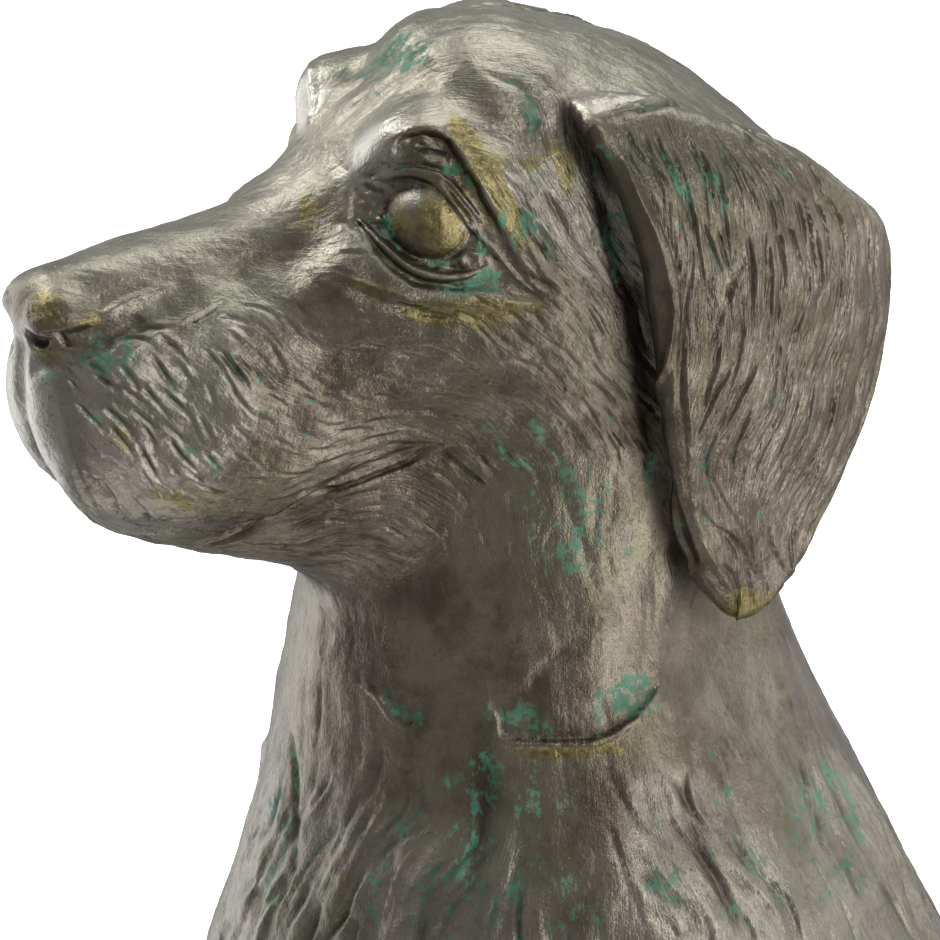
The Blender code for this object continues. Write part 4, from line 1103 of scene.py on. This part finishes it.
fine_rel = -FINE_H * valleys(noise(np.stack([ALONG / 9.0, ACROSS / 1.25], 1), 1.0, 51))
coarse_rel = np.zeros(len(POINTS))
for period in np.unique(per_kind[:, 2]):
    high = soft_map(np.where(per_kind[KIND][:, 2] == period, per_kind[KIND][:, 1], 0.0), 70)
    c1 = noise(np.stack([ALONG / (6.0 * period), ACROSS / period], 1), 1.0, 52)
    c2 = noise(np.stack([ALONG / (4.0 * period), ACROSS / (0.55 * period)], 1), 1.0, 53)
    coarse_rel += high * (1.1 * (c1 - 0.5) + 0.55 * (c2 - 0.5) - 0.35 * valleys(c1))
BRUSHED = (fine_rel + coarse_rel) * calm * (1 - SEAM)
COAT = calm * soft_map(np.array([0.25, 0.55, 0.8, 0.40, 0.50, 0.7, 0.9, 1.0, 0.25, 0.5, 0.6])[KIND], 50) * (1 - SEAM) * np.where(nose_bare, 0.2, 1.0)

# slow unevenness of hand modelling and a casting's small pits
lump = 1.5 * (noise(POINTS, 10.0, 31) - 0.5) + 0.7 * (noise(POINTS, 4.6, 32) - 0.5)
lump = lump * soft_map(np.where(IS_EAR, 0.4, np.where((KIND == NECK_K) | (KIND == BRIDGE), 0.4, 0.75)), 30) + 0.22 * (noise(POINTS, 1.9, 33) - 0.5)
swell = np.exp(-0.9 * brow_gap ** 2) * 1.0
for (cx, cy, cz), radius, rise in (((51, 17, -21), 4.5, 0.9), ((35, 18.5, -19.5), 5.5, 1.1), ((31, 28, -23), 4.5, 0.7), ((24, 28.5, -17), 5, 0.7), ((49, 29, -32), 4, 0.6),
                                   ((22, 33.5, -20.5), 4, 0.6), ((16.5, 38.7, -27), 4.5, 0.7), ((9, 42, -29), 4.5, 0.5), ((-36.8, 47.5, 16.4), 3.0, 1.2)):
    swell = swell + rise * np.exp(-((HEAD_ABS - (cx, cy, cz)) ** 2).sum(1) / radius ** 2)
# the dark attribute: painted shade in the eye, on the ear's front rim and top, under the jaw, on the cheek and on the
# neck under the head; the nose leather and the bare front of the lips darker as well
DARK = np.zeros(len(POINTS))
# the eye map's painted shade in the recess, gutter and lid crease, and the darker lid band
DARK[IN_EYE] = look_up(EYE_SHADE, eu[IN_EYE], ev[IN_EYE]) * step((18 - np.abs(ew[IN_EYE])) / 4)
# painted shade on the ear's turned front rim
DARK = np.maximum(DARK, 0.7 * soft_map(RIM_BAND * 1.0, 5))
# painted shade on the upper ear, under the ledge of the skull
ear_top_shade = IS_EAR * step((HEAD_ABS[:, 2] + 6) / 14.0)
DARK = np.maximum(DARK, 0.55 * soft_map(ear_top_shade, 8))
# painted shade under the jaw
under_jaw_shade = (~IS_EAR) * step((-66 - HEAD_ABS[:, 2]) / 8) * step((HEAD_ABS[:, 0] + 10) / 10) * step((60 - HEAD_ABS[:, 0]) / 12) * step((HEAD_ABS[:, 2] + 112) / 8)
DARK = np.maximum(DARK, 0.40 * soft_map(under_jaw_shade, 10))
# painted shade on the cheek behind the muzzle
DARK = np.maximum(DARK, 0.42 * soft_map((KIND == CHEEK) * step((32 - HEAD_ABS[:, 0]) / 20), 30))
snout = step((HEAD_ABS[:, 0] - 74) / 8) * step((HEAD_ABS[:, 2] + 36) / 5)
DARK = np.maximum(DARK, 0.38 * snout)
DARK = np.maximum(DARK, 0.40 * soft_map(lip_front * 1.0, 20))
# painted shade on the neck under the head: on the side the head turns to, and rising towards the head
throat_shade = IS_NECK * step((POINTS[:, 2] - 30) / 50.0)
DARK = np.maximum(DARK, 0.5 * soft_map(IS_NECK * step((-POINTS[:, 0] - 22) / 14.0), 20))
DARK = np.maximum(DARK, 0.20 * soft_map(throat_shade, 40) * (0.75 + 0.5 * noise(POINTS, 16.0, 61)))
# painted highlight on the brow bulge over the inner corner, and a painted reflection on the bare front band of the lips
PAINTED_HIGHLIGHT = np.maximum(0.8 * np.exp(-(np.maximum(brow_gap - 0.75, 0) / 0.45) ** 2), 0.8 * step((front_in + 2.5) / 5.0) * step((-32 - HEAD_ABS[:, 2]) / 5))
# painted highlights on the skull's ledge over the ear, the lip pads, the temples and the chest tufts
ledge_highlight = (~IS_EAR) * step((-33 - HEAD_ABS[:, 0]) / 4) * step((HEAD_ABS[:, 2] - 0) / 4) * step((8 - leaf_gap) / 6)
PAINTED_HIGHLIGHT = np.maximum(soft_map(np.maximum(PAINTED_HIGHLIGHT, 0.25 * ledge_highlight), 14), soft_map(np.where((KIND == LIP) & ~lip_front, 0.4, np.where(KIND == TEMPLE, 0.3, np.where(KIND == TUFT, 0.3, 0.0))), 60))
# painted highlight: a pale glint spot at the eyeball's upper left
PAINTED_HIGHLIGHT = np.maximum(PAINTED_HIGHLIGHT, IN_EYE * step((18 - np.abs(ew)) / 4) * np.exp(-((eu + 4.2) / 2.4) ** 2 - ((ev - 5.4) / 2.3) ** 2) * (0.75 + 0.5 * noise(POINTS, 1.2, 63)))
stipple = noise(POINTS, 1.3, 71)
LIFT += 0.8 * (0.5 + stipple) * np.exp(-((LEAF_EDGE - 5.4) / 0.8) ** 2) * IS_EAR * step((HEAD_ABS[:, 0] + 70) / 5) * step((6 - HEAD_ABS[:, 2]) / 6)
moved = CUT * (0.4 + 0.6 * calm) + RAISE * (1 - np.clip(-CUT / 0.3, 0, 1)) + DEEP + LIFT * (1 - np.clip(-DEEP / 0.6, 0, 1)) + SHELF + swell + BRUSHED + lump * (0.35 + 0.65 * calm) * step((hood_gap + 1) / 4.0)
moved = np.where(POINTS[:, 2] < 0.6, 0.0, moved * step((POINTS[:, 2] - 0.2) / 1.5))
CARVED = POINTS + NORMALS * moved[:, None]
CARVED[:, 2] = np.maximum(CARVED[:, 2], np.where(POINTS[:, 2] < 0.3, 0.0, 0.05))
BOX = np.array([list(c) for c in CAD_BOX]) * 1000
CARVED = np.clip(CARVED, BOX[0] + (0.02, 0.02, 0), BOX[1] - 0.02)

# =====================================================================================
# 5. The piece
# =====================================================================================
mesh = bpy.data.meshes.new("dog_bust_carved")
faces = QUADS.tolist() + FANS
mesh.from_pydata((CARVED / 1000).tolist(), [], faces)
mesh.update()
for name, values in (("cut", -(CUT * np.where(KIND == LIP, 0.6, np.where(IS_EAR, 0.6, 0.9)) + 0.7 * DEEP + np.minimum(SHELF, 0) * 0.5) - np.where(IS_EAR, 0.2, 0.5) * BRUSHED), ("along", ALONG), ("across", ACROSS), ("coat", COAT), ("dark", DARK), ("pale", PAINTED_HIGHLIGHT)):
    mesh.attributes.new(name, "FLOAT", "POINT").data.foreach_set("value", values.astype(np.float32))
piece = bpy.data.objects.new("dog_bust_carved", mesh)
bpy.context.scene.collection.objects.link(piece)
bpy.context.view_layer.update()

# fewer triangles where nothing is carved finely
tri = piece.modifiers.new("tri", "TRIANGULATE")
dec = piece.modifiers.new("dec", "DECIMATE")
dec.ratio = TRIANGLES / (2 * len(QUADS) + sum(len(f) - 2 for f in FANS))
done = bpy.data.meshes.new_from_object(piece.evaluated_get(bpy.context.evaluated_depsgraph_get()))
piece.modifiers.clear()
piece.data = done
done.name = "dog_bust_carved"
bpy.data.meshes.remove(mesh)
mesh = done
print("triangles", len(mesh.polygons))
mesh.polygons.foreach_set("use_smooth", np.ones(len(mesh.polygons), bool))

n = len(mesh.vertices)
P = np.empty(n * 3)
mesh.vertices.foreach_get("co", P)
P = P.reshape(-1, 3) * 1000
N = np.empty(n * 3)
mesh.vertex_normals.foreach_get("vector", N)
N = N.reshape(-1, 3)
hp = to_head(P)
ha = np.stack([hp[:, 0], np.abs(hp[:, 1]), hp[:, 2]], 1)
near = np.array([TREE.find(c)[1] for c in P.tolist()])
SMOOTH_N = NORMALS[near]
stray = np.linalg.norm(P - CARVED[near], axis=1) > 4.0                # a vertex thrown off by the reduction goes back to its place
P[stray] = CARVED[near[stray]]
P = np.clip(P, BOX[0] + (0.02, 0.02, 0), BOX[1] - 0.02)
mesh.vertices.foreach_set("co", (P / 1000).reshape(-1))
mesh.update()
print("stray", int(stray.sum()))


def spots(at, rows):
    """Soft blobs: centre, size in each axis, strength."""
    out = np.zeros(len(at))
    for (cx, cy, cz), (rx, ry, rz), k in rows:
        out = np.maximum(out, k * np.exp(-(((at - (cx, cy, cz)) / (rx, ry, rz)) ** 2).sum(1)))
    return out


gold = spots(ha, [((1, 38, -5), (7, 8, 8), 1.0), ((-8, 38, 4), (4, 7, 5), 0.9), ((-12, 40, -4), (4, 7, 6), 0.7), ((12, 34, -21), (14, 9, 5), 0.75), ((-6, 45, -26), (15, 9, 5), 0.85),
                  ((87, 10, -24), (5, 7, 5), 1.0), ((80, 14, -26), (6, 6, 3), 0.7), ((87, 10, -36), (4, 6, 4), 0.8), ((-30, 41, 12), (5, 8, 9), 0.7), ((-14, 40, 8), (7, 7, 7), 0.6),
                  ((60, 28, -69), (16, 9, 6), 0.6), ((75, 26, -52), (6, 8, 10), 0.45), ((-71, 60, -108), (10, 14, 8), 1.0), ((50, 33, -46), (10, 8, 8), 0.4),
                  ((22, 17, -6), (8, 8, 7), 0.6), ((12, 16, -6), (8, 8, 5), 0.5), ((-42, 50, -5), (3, 8, 18), 0.35), ((20, 38, -40), (20, 10, 12), 0.3)])
gold = np.maximum(gold, spots(P, [((20, -60, 86), (22, 10, 2.5), 1.0), ((-55, -48, 60), (7, 10, 34), 0.4), ((-35, -62, 40), (14, 12, 26), 0.45), ((25, -66, 55), (30, 12, 16), 0.3)]))
green = spots(ha, [((6, 30, 7), (8, 8, 6), 1.0), ((-4, 36, 5), (5, 7, 4), 1.0), ((13, 30, -6), (5, 7, 7), 1.0), ((3, 41, -14), (9, 7, 4), 1.0), ((-9, 43, -12), (6, 7, 5), 0.8),
                   ((-22, 46, -7), (4, 6, 7), 0.9), ((-6, 3, 24), (13, 8, 8), 0.9), ((77, 20, -34), (8, 7, 4), 1.1), ((88, 10, -40), (6, 8, 4), 0.9), ((84, 20, -48), (6, 8, 8), 0.6),
                   ((-40, 49, -10), (4, 5, 12), 1.2), ((-27, 31, 19), (5, 7, 6), 0.8), ((-24, 42, 7), (5, 6, 7), 0.6), ((-36, 50, 12), (3, 5, 3), 0.8),
                   ((-56, 60, -65), (24, 30, 26), 0.45), ((-58, 58, 3), (24, 30, 12), 0.55), ((-20, 50, -60), (18, 12, 22), 0.5), ((50, 30, -48), (26, 20, 12), 0.5), ((45, 10, -12), (40, 12, 6), 0.35),
                   ((-50, 10, 26), (40, 30, 12), 0.25)])
green = np.maximum(green, spots(P, [((18, -52, 140), (12, 14, 26), 0.8), ((33, -50, 97), (9, 12, 6), 1.2), ((10, -60, 94), (10, 12, 4), 1.0), ((4, -66, 78), (26, 14, 12), 0.6),
                                    ((-20, -60, 93), (12, 14, 4), 0.9), ((10, -72, 50), (50, 30, 20), 0.5), ((-60, -45, 60), (8, 20, 36), 0.6), ((75, -20, 55), (22, 40, 34), 0.55)]))

# the same in the eye's plane (u to the back of the head, v up): centre, radii, strength
ep = ha - EYE_AT
pu, pv, pw_ = ep @ EYE_U, ep @ EYE_V, ep @ EYE_W
face = step((20 - np.abs(pw_)) / 4) * (np.abs(pu - 2) < 34) * (np.abs(pv) < 30)


def eye_spots(rows):
    out = np.zeros(len(pu))
    for cu, cv, ru, rv, k in rows:
        out = np.maximum(out, k * np.exp(-((pu - cu) / ru) ** 2 - ((pv - cv) / rv) ** 2))
    return out * face


hood = np.where(face > 0, look_up(EYE_HOOD, pu, pv), 50.0)
# the eyeball's gold, left off the spot of its painted highlight
ball_in = face * step((9.8 - np.hypot(pu - BALL_AT[0], pv - BALL_AT[1])) / 0.8) * (1 - np.exp(-((pu + 4.2) / 2.4) ** 2 - ((pv - 5.4) / 2.3) ** 2))
gold = np.maximum(gold, np.maximum(0.55 * ball_in, 0.9 * face * step((hood - 0.8) / 1.0) * step((7.5 - hood) / 2.5) * step((pu - 1) / 4) * step((pv + 10) / 6)))
gold = np.maximum(gold, eye_spots([(2, -22, 13, 3.2, 1.1), (14, -21, 12, 3.5, 1.0), (-16, -16, 5, 3, 0.7), (31, 12, 3, 7, 0.9), (23, 14, 5, 3, 0.8), (-33, 2, 6, 5, 0.8)]))
green = np.where(face * (hood < 8) > 0, np.minimum(green, 0.35), green)
green = np.maximum(green, eye_spots([(-10.8, -2.0, 2.2, 3.6, 1.7), (-8.0, -6.2, 1.6, 2.2, 1.3), (1.3, -10.3, 3.0, 1.0, 1.7), (11.0, -6.3, 1.7, 2.8, 1.6), (4.8, 12.2, 3.6, 1.8, 1.7), (7.4, 9.0, 1.6, 2.6, 1.3),
                                     (-8, 12.5, 2.8, 1.4, 1.3), (-11, 9, 3, 1.2, 1.0), (8.5, -15.8, 7.0, 1.6, 1.7), (13, -12.8, 3.6, 1.8, 1.4), (22, -1.5, 1.8, 4.2, 1.7), (16, 1.0, 1.4, 4.0, 1.2), (19, -5, 1.2, 3, 1.2)]))
green = green * (1 - ball_in)
open_ = openness(P, SMOOTH_N)
for name, values in (("gold", gold), ("green", green), ("open", open_), ("upward", np.clip(SMOOTH_N[:, 2], -1, 1) * 0.5 + 0.5)):
    mesh.attributes.new(name, "FLOAT", "POINT").data.foreach_set("value", values.astype(np.float32))


# =====================================================================================
# 6. Materials
# =====================================================================================
def srgb(r, g, b):
    return tuple((c / 12.92 if c <= 0.04045 else ((c + 0.055) / 1.055) ** 2.4) for c in (r / 255, g / 255, b / 255)) + (1.0,)


class Nodes:
    def __init__(self, mat):
        self.t = mat.node_tree

    def new(self, kind, **props):
        n = self.t.nodes.new(kind)
        for k, v in props.items():
            setattr(n, k, v)
        return n

    def put(self, socket, value):
        if isinstance(value, bpy.types.NodeSocket):
            self.t.links.new(value, socket)
        else:
            socket.default_value = value

    def attr(self, name):
        return self.new("ShaderNodeAttribute", attribute_name=name, attribute_type="GEOMETRY").outputs["Fac"]

    def math(self, op, a, b=0.0, c=None, clamp=False):
        n = self.new("ShaderNodeMath", operation=op, use_clamp=clamp)
        self.put(n.inputs[0], a)
        self.put(n.inputs[1], b)
        if c is not None:
            self.put(n.inputs[2], c)
        return n.outputs[0]

    def ramp(self, x, lo, hi, a=0.0, b=1.0):
        n = self.new("ShaderNodeMapRange", interpolation_type="SMOOTHSTEP")
        for s, v in zip(n.inputs[:5], (x, lo, hi, a, b)):
            self.put(s, v)
        return n.outputs[0]

    def mix(self, f, a, b, blend="MIX"):
        n = self.new("ShaderNodeMix", data_type="RGBA", blend_type=blend)
        self.put(n.inputs[0], f)
        self.put(n.inputs[6], a)
        self.put(n.inputs[7], b)
        return n.outputs[2]

    def noise(self, where, scale, detail=3.0, rough=0.55, stretch=None):
        if stretch:
            m = self.new("ShaderNodeMapping")
            m.inputs["Scale"].default_value = stretch
            self.put(m.inputs[0], where)
            where = m.outputs[0]
        n = self.new("ShaderNodeTexNoise")
        self.put(n.inputs["Vector"], where)
        n.inputs["Scale"].default_value = scale
        n.inputs["Detail"].default_value = detail
        n.inputs["Roughness"].default_value = rough
        return n.outputs["Fac"]


mat = bpy.data.materials.new("aged_bronze_patina")
mat.use_nodes = True
for x in list(mat.node_tree.nodes):
    mat.node_tree.nodes.remove(x)
N_ = Nodes(mat)
out = N_.new("ShaderNodeOutputMaterial")
bsdf = N_.new("ShaderNodeBsdfPrincipled")
mat.node_tree.links.new(bsdf.outputs[0], out.inputs[0])
where = N_.new("ShaderNodeTexCoord").outputs["Object"]
cut, a_gold, a_green, a_open, a_up, along, across, coat, a_dark, a_highlight = (N_.attr(k) for k in ("cut", "gold", "green", "open", "upward", "along", "across", "coat", "dark", "pale"))
lay = N_.new("ShaderNodeCombineXYZ")
N_.put(lay.inputs[0], along)
N_.put(lay.inputs[1], across)
lay = lay.outputs[0]


def crest(x):
    """0 in the sharp valleys of a noise, 1 on its backs."""
    return N_.math("ABSOLUTE", N_.math("MULTIPLY_ADD", x, 2.0, -1.0))


big = N_.noise(where, 24, 4, 0.6)
patch = N_.noise(where, 60, 4, 0.65)
mid = N_.noise(where, 140, 5, 0.62)
fine = N_.noise(where, 520, 4, 0.6)
grain = N_.noise(where, 1900, 3, 0.6)
hair = N_.noise(lay, 1.0, 2, 0.6, stretch=(0.10, 1.15, 1.0))
thin = N_.noise(lay, 1.0, 2, 0.6, stretch=(0.20, 2.6, 1.0))
smear = N_.noise(lay, 1.0, 3, 0.6, stretch=(0.09, 0.34, 1.0))
hair_line = N_.math("SUBTRACT", 1.0, N_.math("MULTIPLY", coat, N_.ramp(crest(hair), 0.0, 0.22, 1.0, 0.0)))
thin_line = N_.math("SUBTRACT", 1.0, N_.math("MULTIPLY", coat, N_.ramp(crest(thin), 0.0, 0.35, 1.0, 0.0)))
# ground: brown-grey metal that turns olive, purplish and grey-green by patches
base = N_.mix(N_.ramp(patch, 0.36, 0.62), srgb(83, 74, 62), srgb(120, 112, 100))
base = N_.mix(N_.ramp(big, 0.42, 0.66, 0, 0.65), base, srgb(106, 103, 83))
base = N_.mix(N_.ramp(smear, 0.48, 0.70, 0, 0.55), base, srgb(105, 93, 90))
# painted top light: upward-facing surfaces mixed towards a light grey
base = N_.mix(N_.math("MULTIPLY", N_.ramp(a_up, 0.66, 0.97), 0.5), base, srgb(142, 143, 129))
# painted highlights and reflections in lighter grey, the strongest near white
base = N_.mix(N_.math("MULTIPLY", a_highlight, 0.65), base, srgb(168, 166, 160))
base = N_.mix(N_.ramp(a_highlight, 0.70, 1.0, 0, 0.8), base, srgb(222, 220, 214))
# olive-gold rub, streaked along the coat
rub = N_.math("MULTIPLY_ADD", smear, 0.6, N_.math("MULTIPLY_ADD", mid, 0.5, N_.math("MULTIPLY", fine, 0.25)))
rub = N_.ramp(N_.math("MULTIPLY_ADD", a_gold, 0.6, rub), 0.86, 1.10)
base = N_.mix(N_.math("MULTIPLY", rub, 0.75), base, N_.mix(N_.ramp(fine, 0.35, 0.65), srgb(92, 83, 42), srgb(132, 120, 70)))
# painted shade from the dark attribute, with the darker tone of the nose and the front of the lips; dark patina left in
# the cuts, and painted shade in the hollows by their openness; fine dark streaks
base = N_.mix(N_.math("MULTIPLY", a_dark, 0.85), base, N_.mix(N_.ramp(mid, 0.4, 0.6), srgb(50, 44, 36), srgb(70, 65, 53)))
wash_and_shade = N_.math("MAXIMUM", N_.ramp(cut, 0.15, 0.95), N_.ramp(a_open, 0.70, 0.30))
base = N_.mix(N_.math("MULTIPLY", wash_and_shade, 0.65), base, srgb(44, 36, 26))
streak = N_.math("MULTIPLY", N_.math("SUBTRACT", 1.0, hair_line), N_.ramp(mid, 0.35, 0.6))
base = N_.mix(N_.math("MULTIPLY", streak, 0.45), base, srgb(50, 41, 33))
base = N_.mix(N_.math("MULTIPLY", N_.ramp(fine, 0.56, 0.70), 0.35), base, srgb(60, 51, 42))
base = N_.mix(N_.math("MULTIPLY", N_.ramp(grain, 0.56, 0.68), 0.30), base, srgb(52, 44, 36))
# verdigris: recesses and scattered flecks drawn out along the coat
spread = N_.math("ADD", N_.math("MULTIPLY", smear, 0.36), N_.math("MULTIPLY_ADD", fine, 0.2, N_.math("MULTIPLY", mid, 0.6)))
fleck = N_.ramp(N_.math("ADD", N_.math("ADD", spread, N_.math("MULTIPLY", a_green, 0.25)), N_.ramp(cut, -0.1, 0.5, -0.03, 0.07)), 0.72, 0.82)
fleck = N_.math("MULTIPLY", fleck, N_.math("MULTIPLY", N_.ramp(fine, 0.38, 0.56), N_.ramp(crest(hair), 0.75, 0.15, 0.4, 1.0)))
base = N_.mix(N_.math("MULTIPLY", fleck, 0.85), base, N_.mix(N_.ramp(patch, 0.4, 0.65), srgb(42, 94, 72), srgb(68, 126, 100)))
N_.put(bsdf.inputs["Base Color"], base)
N_.put(bsdf.inputs["Metallic"], N_.math("MULTIPLY_ADD", fleck, -0.7, 0.86))
rough = N_.math("ADD", N_.math("MULTIPLY_ADD", fine, 0.14, 0.19), N_.math("MULTIPLY", mid, 0.12))
rough = N_.math("ADD", rough, N_.math("ADD", N_.math("MULTIPLY", wash_and_shade, 0.12), N_.math("MULTIPLY", fleck, 0.25)), clamp=True)
N_.put(bsdf.inputs["Roughness"], rough)
height = N_.math("ADD", N_.math("MULTIPLY", fine, 0.80), N_.math("MULTIPLY", grain, 0.28))
height = N_.math("ADD", height, N_.math("ADD", N_.math("MULTIPLY", hair_line, 0.16), N_.math("MULTIPLY", thin_line, 0.05)))
height = N_.math("ADD", height, N_.math("MULTIPLY", smear, 0.4))
bump = N_.new("ShaderNodeBump")
bump.inputs["Strength"].default_value = 0.8
bump.inputs["Distance"].default_value = 0.00045
N_.put(bump.inputs["Height"], height)
N_.put(bsdf.inputs["Normal"], bump.outputs[0])
mesh.materials.clear()
mesh.materials.append(mat)
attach(piece, "root")
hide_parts("dog_bust")

# =====================================================================================
# 7. Floor, light and camera
# =====================================================================================
floor_mesh = bpy.data.meshes.new("floor")
floor_mesh.from_pydata([(-4, -4, 0), (4, -4, 0), (4, 4, 0), (-4, 4, 0)], [], [(0, 1, 2, 3)])
floor = bpy.data.objects.new("floor", floor_mesh)
bpy.context.scene.collection.objects.link(floor)
floor.location.z = -0.0004
fm = bpy.data.materials.new("pale_floor")
fm.use_nodes = True
fb = fm.node_tree.nodes["Principled BSDF"]
fb.inputs["Base Color"].default_value = (0.93, 0.93, 0.93, 1)
fb.inputs["Roughness"].default_value = 0.9
fb.inputs["Specular IOR Level"].default_value = 0.1
fb.inputs["Emission Color"].default_value = (1, 1, 1, 1)
fb.inputs["Emission Strength"].default_value = 0.6
floor_mesh.materials.append(fm)
floor.visible_glossy = floor.visible_diffuse = floor.visible_shadow = False

world = bpy.data.worlds.new("studio")
bpy.context.scene.world = world
world.use_nodes = True
world.node_tree.nodes["Background"].inputs[0].default_value = (1, 1, 1, 1)
world.node_tree.nodes["Background"].inputs[1].default_value = 0.46


def softbox(name, at, aim, size, watts):
    light = bpy.data.lights.new(name, "AREA")
    light.shape, light.size, light.size_y, light.energy = "RECTANGLE", size[0], size[1], watts
    ob = bpy.data.objects.new(name, light)
    ob.location = at
    ob.rotation_mode = "QUATERNION"
    ob.rotation_quaternion = (Vector(aim) - Vector(at)).to_track_quat("-Z", "Y")
    bpy.context.scene.collection.objects.link(ob)


softbox("top", (0.12, 0.38, 1.10), (0, 0, 0.2), (0.9, 0.7), 7.5)
softbox("left_top", (-0.80, 0.15, 1.0), (0, 0, 0.2), (0.5, 0.5), 8)
softbox("left", (-1.15, 0.38, -0.05), (0, 0, 0.15), (0.8, 1.4), 8)
softbox("back_right", (0.95, 1.05, 0.5), (0, 0, 0.15), (0.9, 1.1), 4.5)
softbox("right", (1.2, -0.42, -0.24), (0, 0, 0.15), (0.55, 1.15), 11)
softbox("right_high", (0.99, -0.62, 0.82), (0, 0, 0.18), (0.45, 0.55), 7)
softbox("right_back", (1.1, 0.5, 0.0), (0, 0, 0.15), (0.8, 1.2), 3)
softbox("low", (-0.05, -0.40, -1.15), (0, 0, 0.15), (1.0, 0.7), 4)

CAM_TARGET, CAM_FAR, CAM_AZ, CAM_EL, CAM_HALF = np.array([-0.022, -0.007, 0.135]), 1.3, 18.0, 20.0, 0.1175
az, el = np.radians([CAM_AZ, CAM_EL])
back = np.array([np.sin(az) * np.cos(el), -np.cos(az) * np.cos(el), np.sin(el)])
right = np.array([np.cos(az), np.sin(az), 0.0])
up = np.cross(back, right)
at = CAM_TARGET + CAM_FAR * back
cam = bpy.data.cameras.new("camera")
cam.sensor_width = 36.0
cam.lens = 18.0 * CAM_FAR / CAM_HALF
cam_ob = bpy.data.objects.new("camera", cam)
bpy.context.scene.collection.objects.link(cam_ob)
cam_ob.matrix_world = Matrix([[right[0], up[0], back[0], at[0]], [right[1], up[1], back[1], at[1]], [right[2], up[2], back[2], at[2]], [0, 0, 0, 1]])
bpy.context.scene.camera = cam_ob
bpy.context.scene.view_settings.view_transform = "Standard"
